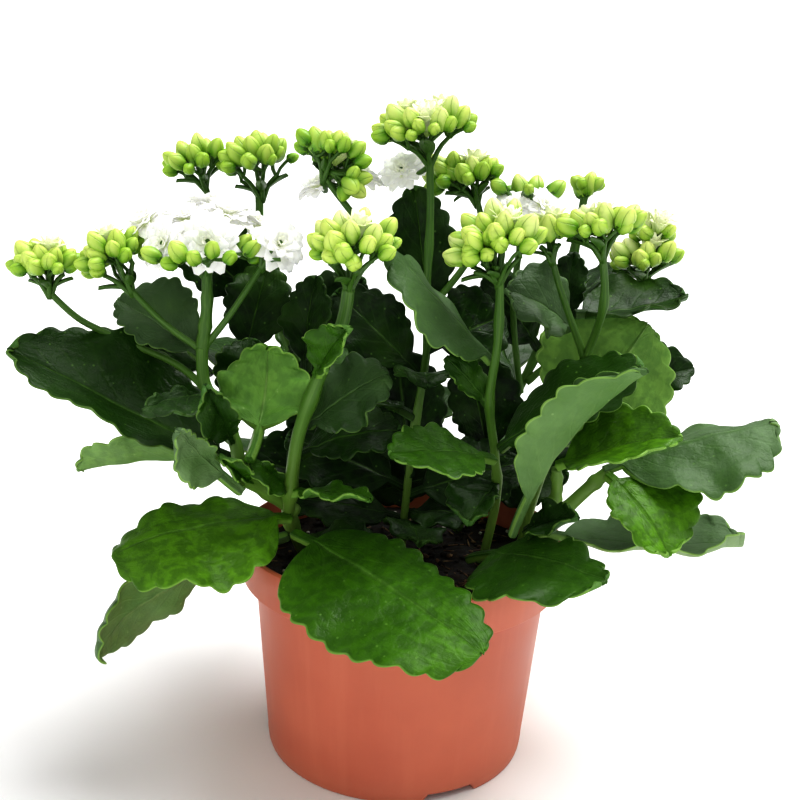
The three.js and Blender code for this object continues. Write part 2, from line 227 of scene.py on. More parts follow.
bm = bmesh.new()
spin_profile(bm, POT_PROFILE, POT_STEPS)
for vert in bm.verts:
    radius = vert.co.xy.length / MM
    if vert.co.z < FOOT_HEIGHT * MM and radius > FOOT_INNER:
        angle = math.degrees(math.atan2(vert.co.y, vert.co.x))
        reach = min(turn_gap(angle, notch) for notch in NOTCH_ANGLES)
        if math.radians(reach) * FOOT_RADIUS <= NOTCH_HALF_WIDTH:
            vert.co.z = NOTCH_TOP * MM
pot_mesh = finish_mesh(bm, "pot_shell")

bm = bmesh.new()
for hole in range(DRAIN_HOLES):
    around = Matrix.Rotation(2 * math.pi * hole / DRAIN_HOLES, 4, "Z")
    bmesh.ops.create_cone(
        bm,
        cap_ends=True,
        segments=20,
        radius1=DRAIN_RADIUS * MM,
        radius2=DRAIN_RADIUS * MM,
        depth=DRILL_LENGTH * MM,
        matrix=around @ Matrix.Translation((DRAIN_CIRCLE * MM, 0, FLOOR_LEVEL * MM)),
    )
drill_mesh = finish_mesh(bm, "drain_drill")

pot_blank = bpy.data.objects.new("pot_blank", pot_mesh)
drill = bpy.data.objects.new("drain_drill", drill_mesh)
for piece in (pot_blank, drill):
    bpy.context.collection.objects.link(piece)
drilled = pot_blank.modifiers.new("drain_holes", "BOOLEAN")
drilled.operation = "DIFFERENCE"
drilled.object = drill
view = bpy.context.evaluated_depsgraph_get()
pot_mesh = bpy.data.meshes.new_from_object(pot_blank.evaluated_get(view))
for piece in (pot_blank, drill):
    bpy.data.objects.remove(piece)

terracotta, tree, shader = new_material("terracotta_plastic")
place = add_node(tree, "ShaderNodeTexCoord", {}).outputs["Object"]
cloud = noise_value(tree, place, 28, 4)
pores = noise_value(tree, place, 900, 2)
streaks = noise_value(tree, stretched(tree, place, (160, 160, 9)), 1, 3)
height = add_node(tree, "ShaderNodeSeparateXYZ", {"Vector": place}).outputs["Z"]
dusty_foot = fade(tree, height, 0.0, 0.012, 0.5, 0.0)
tint = ramp(tree, cloud, ((0.3, (0.5, 0.13, 0.072)), (0.7, (0.58, 0.165, 0.092))))
tint = mix_colours(tree, fade(tree, streaks, 0.45, 0.75, 0, 0.25), tint, (0.64, 0.21, 0.12))
tint = mix_colours(tree, math_node(tree, "MULTIPLY", dusty_foot, pores), tint, (0.5, 0.2, 0.12))
grain = math_node(tree, "ADD", math_node(tree, "MULTIPLY", pores, 0.25), streaks)
finish_skin(tree, shader, tint, fade(tree, cloud, 0.3, 0.7, 0.36, 0.5), grain, 0.12, 0.0004)
let_light_in(shader, 0.08, (0.004, 0.0015, 0.001))

pot = show_piece("pot_shell", pot_mesh, ["pot"], [terracotta])
edges = pot.modifiers.new("moulded_edges", "BEVEL")
edges.width = 0.25 * MM
edges.segments = 2
edges.limit_method = "ANGLE"
edges.angle_limit = math.radians(35)
edges.harden_normals = False

# Potting soil --------------------------------------------------------------------------
# Moist dark peat with coarse fibres, bark crumbs and a little white perlite, filled loosely
# round the root ball to a finger's width below the rim.

SOIL_RADIUS = 56.9
SOIL_EDGE = 70
SOIL_RINGS = 22
LUMPY_ABOVE = 69.5
LUMPY_RADIUS = 56.5
SOIL_PROFILE = [(0, 5.9), (45.7, 5.9), (46.6, 6.9), (52.1, 68.2), (52.1, 68.9), (SOIL_RADIUS, 68.9)]
for ring in range(SOIL_RINGS + 1):
    SOIL_PROFILE.append((SOIL_RADIUS - 2.4 * ring, SOIL_EDGE + 0.05 * ring))
SOIL_PROFILE.append((0, 71.2))

bm = bmesh.new()
spin_profile(bm, SOIL_PROFILE, 120)
for vert in bm.verts:
    if vert.co.z > LUMPY_ABOVE * MM and vert.co.xy.length < LUMPY_RADIUS * MM:
        lumps = noise.noise(vert.co * 110) * 1.3 + noise.noise(vert.co * 420) * 0.7
        vert.co.z += lumps * MM
soil_mesh = finish_mesh(bm, "soil_fill")

peat, tree, shader = new_material("moist_peat")
place = add_node(tree, "ShaderNodeTexCoord", {}).outputs["Object"]
clods = noise_value(tree, place, 300, 8)
specks = add_node(tree, "ShaderNodeTexVoronoi", {"Vector": place, "Scale": 700})
tint = ramp(
    tree,
    clods,
    ((0.3, (0.004, 0.003, 0.002)), (0.55, (0.014, 0.009, 0.006)), (0.75, (0.05, 0.032, 0.02))),
)
fleck = fade(tree, specks.outputs["Distance"], 0.25, 0.05, 0, 0.35)
tint = mix_colours(tree, fleck, tint, (0.16, 0.1, 0.055))
finish_skin(tree, shader, tint, fade(tree, clods, 0.3, 0.7, 0.7, 0.98), clods, 0.9, 0.0015)
show_piece("soil_fill", soil_mesh, ["potting_soil"], [peat])

bark, tree, shader = new_material("bark_and_fibre")
place = add_node(tree, "ShaderNodeTexCoord", {}).outputs["Object"]
fibres = noise_value(tree, place, 220, 6)
tint = ramp(
    tree,
    fibres,
    ((0.35, (0.05, 0.028, 0.015)), (0.5, (0.16, 0.09, 0.045)), (0.68, (0.42, 0.3, 0.17))),
)
finish_skin(tree, shader, tint, fade(tree, fibres, 0.3, 0.7, 0.6, 0.95), fibres, 0.6, 0.0008)

perlite, tree, shader = new_material("perlite")
place = add_node(tree, "ShaderNodeTexCoord", {}).outputs["Object"]
cells = noise_value(tree, place, 900, 4)
tint = ramp(tree, cells, ((0.3, (0.5, 0.46, 0.4)), (0.7, (0.85, 0.83, 0.78))))
tree.links.new(tint, shader.inputs["Base Color"])
tree.links.new(fade(tree, cells, 0.3, 0.7, 0.7, 1.0), shader.inputs["Roughness"])

CRUMBS = 520
CRUMB_CIRCLE = 55.5
CRUMB_LEVEL = 71.1
PEAT_UP_TO, BARK_UP_TO, FIBRES_UP_TO = 0.55, 0.78, 0.93

dice = random.Random(4)
bm = bmesh.new()
for crumb in range(CRUMBS):
    reach = CRUMB_CIRCLE * math.sqrt(dice.random())
    angle = dice.uniform(0, 2 * math.pi)
    turn = Matrix.Rotation(dice.uniform(0, 6.3), 4, "Z")
    turn = turn @ Matrix.Rotation(dice.uniform(-0.6, 0.6), 4, "X")
    spot = Vector((reach * math.cos(angle), reach * math.sin(angle), CRUMB_LEVEL)) * MM
    kind = dice.random()
    if kind < BARK_UP_TO:
        size = dice.uniform(0.4, 1.3)
        stretch = (size * dice.uniform(1, 2.2), size, size * 0.7)
    elif kind < FIBRES_UP_TO:
        stretch = (dice.uniform(3, 6.5), 0.35, 0.3)
    else:
        stretch = (0.9, 0.8, 0.7)
    scale = Matrix.Diagonal((*(s * MM for s in stretch), 1))
    made = bmesh.ops.create_icosphere(
        bm, subdivisions=1, radius=1, matrix=Matrix.Translation(spot) @ turn @ scale
    )
    for face in faces_of(made["verts"]):
        face.material_index = 0 if kind < PEAT_UP_TO else 1 if kind < FIBRES_UP_TO else 2
show_piece("soil_crumbs", finish_mesh(bm, "soil_crumbs"), [], [peat, bark, perlite])

# Stems and flower stalks -----------------------------------------------------------------
# Fleshy light-green stems, thick at the base and a little swollen where leaves join them,
# which branch into thinner flower stalks. Each is one tube drawn along its line.

green_stem, tree, shader = new_material("green_stem")
surface = add_node(tree, "ShaderNodeTexCoord", {})
place = surface.outputs["Object"]
strands = noise_value(tree, stretched(tree, surface.outputs["UV"], (7, 1.5, 1)), 3, 5)
blotch = noise_value(tree, place, 45, 3)
height = add_node(tree, "ShaderNodeSeparateXYZ", {"Vector": place}).outputs["Z"]
tint = ramp(
    tree,
    fade(tree, height, 0.08, 0.2),
    ((0, (0.2, 0.33, 0.07)), (0.45, (0.08, 0.18, 0.022)), (1, (0.045, 0.12, 0.014))),
)
tint = mix_colours(tree, fade(tree, strands, 0.4, 0.7, 0, 0.4), tint, (0.16, 0.3, 0.05))
tint = mix_colours(tree, fade(tree, blotch, 0.5, 0.75, 0, 0.35), tint, (0.09, 0.2, 0.03))
finish_skin(tree, shader, tint, fade(tree, blotch, 0.3, 0.7, 0.38, 0.6), strands, 0.25, 0.0006)
let_light_in(shader, 0.1, (0.001, 0.002, 0.0006))


def smooth_line(points, share):
    """The point at a share of the way along a smooth line through the given points."""
    last = len(points) - 1
    place = min(share * last, last - 1e-6)
    i = int(place)
    t = place - i
    before, a, b, after = (points[min(max(k, 0), last)] for k in (i - 1, i, i + 1, i + 2))
    return 0.5 * (
        2 * a + (b - before) * t + (2 * before - 5 * a + 4 * b - after) * t * t
        + (3 * a - before - 3 * b + after) * t**3
    )


def draw_tube(bm, points, radius, sides, steps, material=0):
    """Wraps a flat grid round a line; radius is a function of the share of the line."""
    grid = bmesh.ops.create_grid(bm, x_segments=sides, y_segments=steps + 2, size=0.5, calc_uvs=True)
    sideways = Vector((1, 0.2, 0.1)).normalized()
    rings = []
    for row in range(steps + 3):
        share = min(max((row - 1) / steps, 0), 1)
        here = smooth_line(points, share)
        ahead = smooth_line(points, min(share + 0.01, 1)) - smooth_line(points, max(share - 0.01, 0))
        ahead.normalize()
        sideways = (sideways - ahead * sideways.dot(ahead)).normalized()
        width = 0 if row in (0, steps + 2) else radius(share)
        rings.append((here, sideways, ahead.cross(sideways), width))
    for vert in grid["verts"]:
        row = round((vert.co.y + 0.5) * (steps + 2))
        angle = 2 * math.pi * (vert.co.x + 0.5)
        here, out, over, width = rings[row]
        vert.co = here + (out * math.cos(angle) + over * math.sin(angle)) * width
    for face in faces_of(grid["verts"]):
        face.material_index = material
    bmesh.ops.remove_doubles(bm, verts=grid["verts"], dist=2e-5)


STALKS = {
    "left": (
        (2.5, ((-34, -4, 70), (-40, -18, 92), (-39, -28, 106), (-36, -34, 128), (-29, -40, 150),
               (-22, -45, 168), (-20, -48, 180))),
        (2.5, ((-38, -20, 96), (-47, -28, 106), (-54, -34, 113), (-57, -33, 124), (-61, -31, 132),
               (-68, -28, 143), (-69, -27, 155))),
        (2.1, ((-69, -27, 153), (-67.5, -26, 168), (-67.6, -25, 180))),
        (1.2, ((-69, -27, 154), (-82, -24, 162), (-93, -22, 172))),
        (1.2, ((-69, -27, 154), (-60, -25, 166), (-50, -22, 182))),
        (1.3, ((-67, -29, 141), (-80, -18, 147), (-100, -14, 154), (-112, -18, 161), (-121, -20, 170))),
    ),
    "centre": (
        (1.6, ((0, 12, 70), (2, 8, 110), (6, 4, 150), (5, 2, 172), (5, 4, 198), (4, 8, 217))),
        (1.3, ((5, 2, 170), (-8, -3, 184), (-20, -6, 197), (-31, -6, 210))),
        (1.3, ((6, 4, 165), (18, 10, 180), (24, 18, 192), (22, 22, 203))),
    ),
    "centre_right": (
        (1.7, ((30, 0, 70), (33, -10, 100), (31, -17, 118), (27, -27, 140), (28, -32, 162),
               (27.5, -32, 182))),
    ),
    "right": (
        (1.6, ((44, 10, 70), (52, 6, 110), (58, 2, 138), (62, -8, 156), (63.5, -20, 174),
               (61, -24, 190))),
        (1.3, ((61, -5, 152), (51, -11, 174), (46, -14, 187))),
    ),
    "right_low": (
        (2.7, ((38, -6, 70), (48, -12, 86), (57, -12, 97), (66, -12, 107), (72, -12, 113))),
        (2.2, ((50, -12, 89), (53, -18, 104), (52, -21, 116))),
    ),
    "back_left": (
        (1.8, ((-20, 28, 70), (-35, 30, 120), (-55, 30, 165), (-58, 30, 200))),
        (1.4, ((-55, 30, 168), (-72, 30, 188), (-78, 30, 203))),
    ),
    "back_right": (
        (1.8, ((22, 32, 70), (40, 36, 120), (58, 40, 165), (65, 48, 205))),
        (1.4, ((44, 36, 128), (38, 26, 165), (40, 20, 201))),
        (1.4, ((46, 36, 132), (68, 38, 152), (88, 34, 173))),
    ),
}


KNOT_LENGTH = 0.035
KNOT_SWELL = 0.3
STALK_TAPER = 0.18
STEM_SIDES = 12
STEM_STEPS = 8


def stalk_radius(thick, knots):
    """Radius along a stalk: a slight taper, swollen at each share of it in knots."""

    def radius(share):
        swell = sum(math.exp(-(((share - knot) / KNOT_LENGTH) ** 2)) for knot in knots)
        return thick * MM * (1.0 - STALK_TAPER * share) * (1 + KNOT_SWELL * swell)

    return radius


KNOTS = {"left": (0.16, 0.33, 0.6), "centre": (0.25, 0.45, 0.72), "centre_right": (0.3, 0.6, 0.86)}
stem_meshes = {}
for side, stalks in STALKS.items():
    bm = bmesh.new()
    bm.loops.layers.uv.new("UVMap")
    for thick, points in stalks:
        knots = KNOTS.get(side, (0.2, 0.5, 0.8)) if thick > 1.5 else (0.04,)
        line = [Vector(point) * MM for point in points]
        draw_tube(bm, line, stalk_radius(thick, knots), STEM_SIDES, STEM_STEPS * (len(line) - 1))
    stem_meshes[side] = bm

# Leaves ----------------------------------------------------------------------------------
# Thick waxy succulent blades on short fleshy stalks, with rounded scallops along the margin,
# a pale edge and a sunken midrib. Each is one grid moved onto the leaf's own curved surface;
# a Solidify modifier gives it its flesh.

VEIN_PAIRS = 8.5
VEIN_SWEEP = 2.6
VEIN_SHARE = 0.5
SIDE_VEIN_SHARE = 0.16

vein_pattern = bpy.data.node_groups.new("leaf_veins", "ShaderNodeTree")
for name in ("Surface", "Place"):
    vein_pattern.interface.new_socket(name, in_out="INPUT", socket_type="NodeSocketVector")
for name in ("Midrib", "Veins", "Mottle", "Edge", "Net"):
    vein_pattern.interface.new_socket(name, in_out="OUTPUT", socket_type="NodeSocketFloat")
tree = vein_pattern
given = tree.nodes.new("NodeGroupInput").outputs
results = tree.nodes.new("NodeGroupOutput").inputs
shares = add_node(tree, "ShaderNodeSeparateXYZ", {"Vector": given["Surface"]}).outputs
wander = math_node(tree, "SUBTRACT", noise_value(tree, given["Place"], 60, 2), 0.5)
side = math_node(tree, "SUBTRACT", shares["X"], 0.5)
side = math_node(tree, "MULTIPLY", math_node(tree, "ABSOLUTE", side), 2)
rib_width = fade(tree, shares["Y"], 0.0, 1.0, 0.13, 0.035)
midrib = math_node(tree, "DIVIDE", side, rib_width)
midrib = math_node(tree, "SUBTRACT", 1, midrib, clamp=True)
sweep = math_node(tree, "MULTIPLY", math_node(tree, "POWER", side, 0.8), VEIN_SWEEP)
phase = math_node(tree, "SUBTRACT", math_node(tree, "MULTIPLY", shares["Y"], VEIN_PAIRS), sweep)
phase = math_node(tree, "ADD", phase, math_node(tree, "MULTIPLY", wander, 0.9))
veins = fade(tree, math_node(tree, "PINGPONG", phase, 0.5), 0.12, 0.0)
veins = math_node(tree, "MULTIPLY", veins, fade(tree, side, 0.95, 0.3, 0.15, 1.0))
cells = add_node(
    tree, "ShaderNodeTexVoronoi", {"Vector": given["Place"], "Scale": 380}, feature="DISTANCE_TO_EDGE"
)
for name, value in (
    ("Midrib", midrib),
    ("Veins", veins),
    ("Mottle", noise_value(tree, given["Place"], 38, 6)),
    ("Edge", fade(tree, side, 0.965, 0.995)),
    ("Net", fade(tree, cells.outputs["Distance"], 0.0, 0.12)),
):
    tree.links.new(value, results[name])


def leaf_material(name, tones, bloom_and_sheen_tint, vein_tint, edge_tint, rough, relief):
    """A leaf skin whose colour goes by the leaf's age and waxy bloom, and by painted shade and sheen:
    low youth values darken leaves that sit in shade nearly to black, and the bloom mix also paints a
    pale sheen.
    """
    material, tree, shader = new_material(name)
    surface = add_node(tree, "ShaderNodeTexCoord", {}).outputs
    place = surface["Object"]
    youth_and_shade = add_node(tree, "ShaderNodeAttribute", {}, attribute_name="youth_and_shade").outputs["Fac"]
    bloom_and_sheen = add_node(tree, "ShaderNodeAttribute", {}, attribute_name="bloom_and_sheen").outputs["Fac"]
    veins = add_node(
        tree, "ShaderNodeGroup", {"Surface": surface["UV"], "Place": place}, node_tree=vein_pattern
    ).outputs
    mottle = veins["Mottle"]
    cloud = noise_value(tree, place, 75, 3)
    fine = noise_value(tree, place, 260, 4)
    grow = noise_value(tree, stretched(tree, surface["UV"], (26, 3, 1)), 1, 5)
    dots = add_node(tree, "ShaderNodeTexVoronoi", {"Vector": place, "Scale": 230}).outputs["Distance"]
    side_veins = math_node(tree, "MULTIPLY", veins["Veins"], SIDE_VEIN_SHARE)
    lines = math_node(tree, "MAXIMUM", veins["Midrib"], side_veins)
    # Painted sheen: the bloom mix lays a pale grey-green over the leaf, partly its real waxy bloom and
    # partly the sheen of light on the wax.
    bloom_and_sheen_haze = math_node(tree, "MULTIPLY", bloom_and_sheen, fade(tree, mottle, 0.3, 0.6, 0.35, 1.0))
    edge = math_node(tree, "MULTIPLY", veins["Edge"], fade(tree, youth_and_shade, 0.05, 0.55, 0.05, 0.6))
    deep, bright = tones[1][1], tones[-1][1]
    # Painted shade: this ramp takes leaves with low youth values, those that sit in shade, nearly to
    # black, and brightens lit leaves as well as young ones.
    tint = ramp(tree, youth_and_shade, tones)
    for share, colour in (
        (fade(tree, mottle, 0.35, 0.65, 0.25, 0), (0, 0, 0)),
        (fade(tree, mottle, 0.5, 0.75, 0, 0.2), bright),
        (math_node(tree, "MULTIPLY", lines, VEIN_SHARE), vein_tint),
        (fade(tree, cloud, 0.45, 0.68, 0, 0.22), deep),
        (fade(tree, fine, 0.4, 0.6, 0.45, 0), deep),
        (fade(tree, grow, 0.42, 0.62, 0.16, 0), deep),
        (fade(tree, dots, 0.13, 0.05, 0, 0.45), vein_tint),
        (bloom_and_sheen_haze, bloom_and_sheen_tint),
        (edge, edge_tint),
    ):
        tint = mix_colours(tree, share, tint, colour)
    dull = fade(tree, mottle, 0.3, 0.7, rough, rough + 0.14)
    dull = math_node(tree, "ADD", dull, math_node(tree, "MULTIPLY", bloom_and_sheen, 0.2))
    height = math_node(tree, "MULTIPLY", lines, relief)
    for part, weight in ((mottle, 0.7), (fine, 0.7), (grow, 0.35), (veins["Net"], 0.03)):
        height = math_node(tree, "ADD", height, math_node(tree, "MULTIPLY", part, weight))
    finish_skin(tree, shader, tint, dull, height, 0.55, 0.0014)
    shader.inputs["Specular IOR Level"].default_value = 0.26
    return material


leaf_top = leaf_material(
    "leaf_upper_skin",
    (
        (0, (0.006, 0.02, 0.004)),
        (0.35, (0.022, 0.07, 0.006)),
        (0.65, (0.07, 0.2, 0.008)),
        (1, (0.2, 0.44, 0.02)),
    ),
    bloom_and_sheen_tint=(0.17, 0.25, 0.14),
    vein_tint=(0.16, 0.32, 0.06),
    edge_tint=(0.3, 0.5, 0.11),
    rough=0.33,
    relief=-0.6,
)
leaf_back = leaf_material(
    "leaf_lower_skin",
    (
        (0, (0.02, 0.06, 0.012)),
        (0.35, (0.08, 0.19, 0.04)),
        (0.65, (0.18, 0.36, 0.07)),
        (1, (0.34, 0.56, 0.12)),
    ),
    bloom_and_sheen_tint=(0.26, 0.35, 0.2),
    vein_tint=(0.38, 0.54, 0.2),
    edge_tint=(0.36, 0.54, 0.16),
    rough=0.46,
    relief=0.9,
)

WIDEST = 0.55
STALK_ROWS = 0.12
LEAF_COLUMNS = 14
LOBE_LENGTH = 8.5
FEWEST_LOBES = 8
LOBE_DEPTH = 0.34
FULL_FLESH = 3.2


def leaf_outline(length, reach, full, samples=160):
    """The plain outline of a blade: its length shares, widths, way along the edge, normals."""
    rows = []
    way = 0.0
    for k in range(samples + 1):
        q = (1 - math.cos(math.pi * k / samples)) / 2
        blunt = 0.64 - 0.16 * full - 0.2 * q
        width = math.sin(math.pi * min(q, 0.99999) ** (1 - 0.25 * full)) ** blunt
        here = Vector((q * length, width * reach))
        if rows:
            way += (here - rows[-1][3]).length
        rows.append((q, width, way, here))
    table = []
    for k, (q, width, way, here) in enumerate(rows):
        tangent = rows[min(k + 1, samples)][3] - rows[max(k - 1, 0)][3]
        tangent.normalize()
        table.append((q, width, way, Vector((tangent.y, -tangent.x))))
    return table


def grow_leaf(bm, root, tip, right, left, arch, stalk, look):
    """Adds one blade with its stalk to bm. Points in millimetres, as for the part."""
    rows = look.get("rows", 96)
    start, end, to_right, to_left = (Vector(p) for p in (root, tip, right, left))
    chord = end - start
    ahead = chord.normalized()
    halves = []
    for margin in (to_right, to_left):
        half = margin - start - chord * WIDEST
        halves.append(half - ahead * half.dot(ahead))
    up = (halves[0] - halves[1]).cross(ahead).normalized()
    blade = chord.length * (1 - stalk)
    table = leaf_outline(blade, (halves[0].length + halves[1].length) / 2, look.get("full", 0))
    edge_length = table[-1][2]
    lobe_length = min(LOBE_LENGTH, edge_length / FEWEST_LOBES)
    depth = LOBE_DEPTH * lobe_length
    shift = Vector((look.get("seed", 1) * 7.3, 2.1, 5.7))
    flesh = bm.verts.layers.float["flesh"]
    youth_and_shade = bm.verts.layers.float["youth_and_shade"]
    bloom_and_sheen = bm.verts.layers.float["bloom_and_sheen"]
    grid = bmesh.ops.create_grid(
        bm, x_segments=LEAF_COLUMNS, y_segments=rows, size=0.5, calc_uvs=True
    )
    for vert in grid["verts"]:
        along = vert.co.y + 0.5
        across = 2 * vert.co.x
        across = math.copysign(abs(across) ** 1.25, across)
        if along < STALK_ROWS:
            q, body, way, inward = table[0]
            place = stalk * along / STALK_ROWS
        else:
            target = (along - STALK_ROWS) / (1 - STALK_ROWS)
            target = edge_length * (0.75 * target + 0.25 * target * target * (3 - 2 * target))
            k = next((k for k, row in enumerate(table) if row[2] >= target), len(table) - 1)
            q, body, way, inward = table[k]
            place = stalk + (1 - stalk) * q
        half = halves[0] if across > 0 else halves[1]
        reach = half.length
        width = max(reach * body, 1.7 - 1.2 * q)
        neck = max(0.0, min(1.0, 1 - q / 0.1))
        lobe = way / lobe_length + 0.2 * noise.noise(Vector((way / 9, 0.5 * (across > 0), 0)) + shift)
        notch = depth * (1 - abs(math.sin(math.pi * lobe)) ** 0.75) * min(1, max(0, 6 * q - 0.6))
        notch *= abs(across) ** 2.5
        offset = half / reach * abs(across) * max(0.3, width + inward.y * notch)
        rise = arch * 4 * place * (1 - place)
        rise += look.get("cup", 1.5) * across * across * math.sin(math.pi * q)
        curl = look.get("curl_right" if across > 0 else "curl_left", 0)
        rise += curl * abs(across) ** 3 * min(1, 3 * q)
        rise += look.get("hook", 0) * max(0, q - 0.6) ** 2 / 0.16
        ripple = math.sin(2 * math.pi * (q * look.get("waves", 2.2) + look.get("seed", 1) * 0.37))
        ripple += 0.6 * noise.noise(Vector((q * 5, across * 1.5, 0)) + shift)
        rise += look.get("wave", 1.6) * ripple * abs(across) ** 1.6 * min(1, 4 * q)
        rise -= 0.6 * math.exp(-((width * across / 1.5) ** 2)) * (1 - neck)
        rise += 0.7 * noise.noise(Vector((q * 7, across * 2.5, 4)) + shift) * (1 - neck)
        rise += look.get("ribs", 0) * math.sin(14 * across + 5 * q) * math.sin(math.pi * q) * abs(across)
        vert.co = (start + chord * place + offset + up * rise + ahead * (inward.x * notch)) * MM
        thick = 2.9 * neck + (1 - neck) * (1.6 - 0.7 * abs(across) ** 3)
        thick += 0.9 * max(0, 1 - abs(across) * 7) * (1 - q)
        vert[flesh] = min(1.0, thick / FULL_FLESH)
        # The youth value carries painted shade as well as the leaf's age.
        vert[youth_and_shade] = look.get("youth_and_shade", 0.4)
        # The bloom value carries painted sheen as well as the waxy bloom.
        vert[bloom_and_sheen] = look.get("bloom_and_sheen", 0.0)
    return grid["verts"]


def start_leaf_mesh():
    """An empty mesh with the layers that a leaf fills in."""
    bm = bmesh.new()
    bm.loops.layers.uv.new("UVMap")
    for layer in ("flesh", "youth_and_shade", "bloom_and_sheen"):
        bm.verts.layers.float.new(layer)
    return bm


def flesh_out(piece):
    """Gives a sheet of leaf its thickness, upper skin first and lower skin next."""
    weights = piece.vertex_groups.new(name="flesh")
    for index, value in enumerate(piece.data.attributes["flesh"].data):
        weights.add([index], value.value, "REPLACE")
    solid = piece.modifiers.new("flesh", "SOLIDIFY")
    solid.thickness = FULL_FLESH * MM
    solid.offset = 0
    solid.vertex_group = "flesh"
    solid.use_even_offset = False
    solid.material_offset = 1
    solid.material_offset_rim = 0
    rounded = piece.modifiers.new("rounded_edges", "SUBSURF")
    rounded.levels = 1
    rounded.render_levels = 1
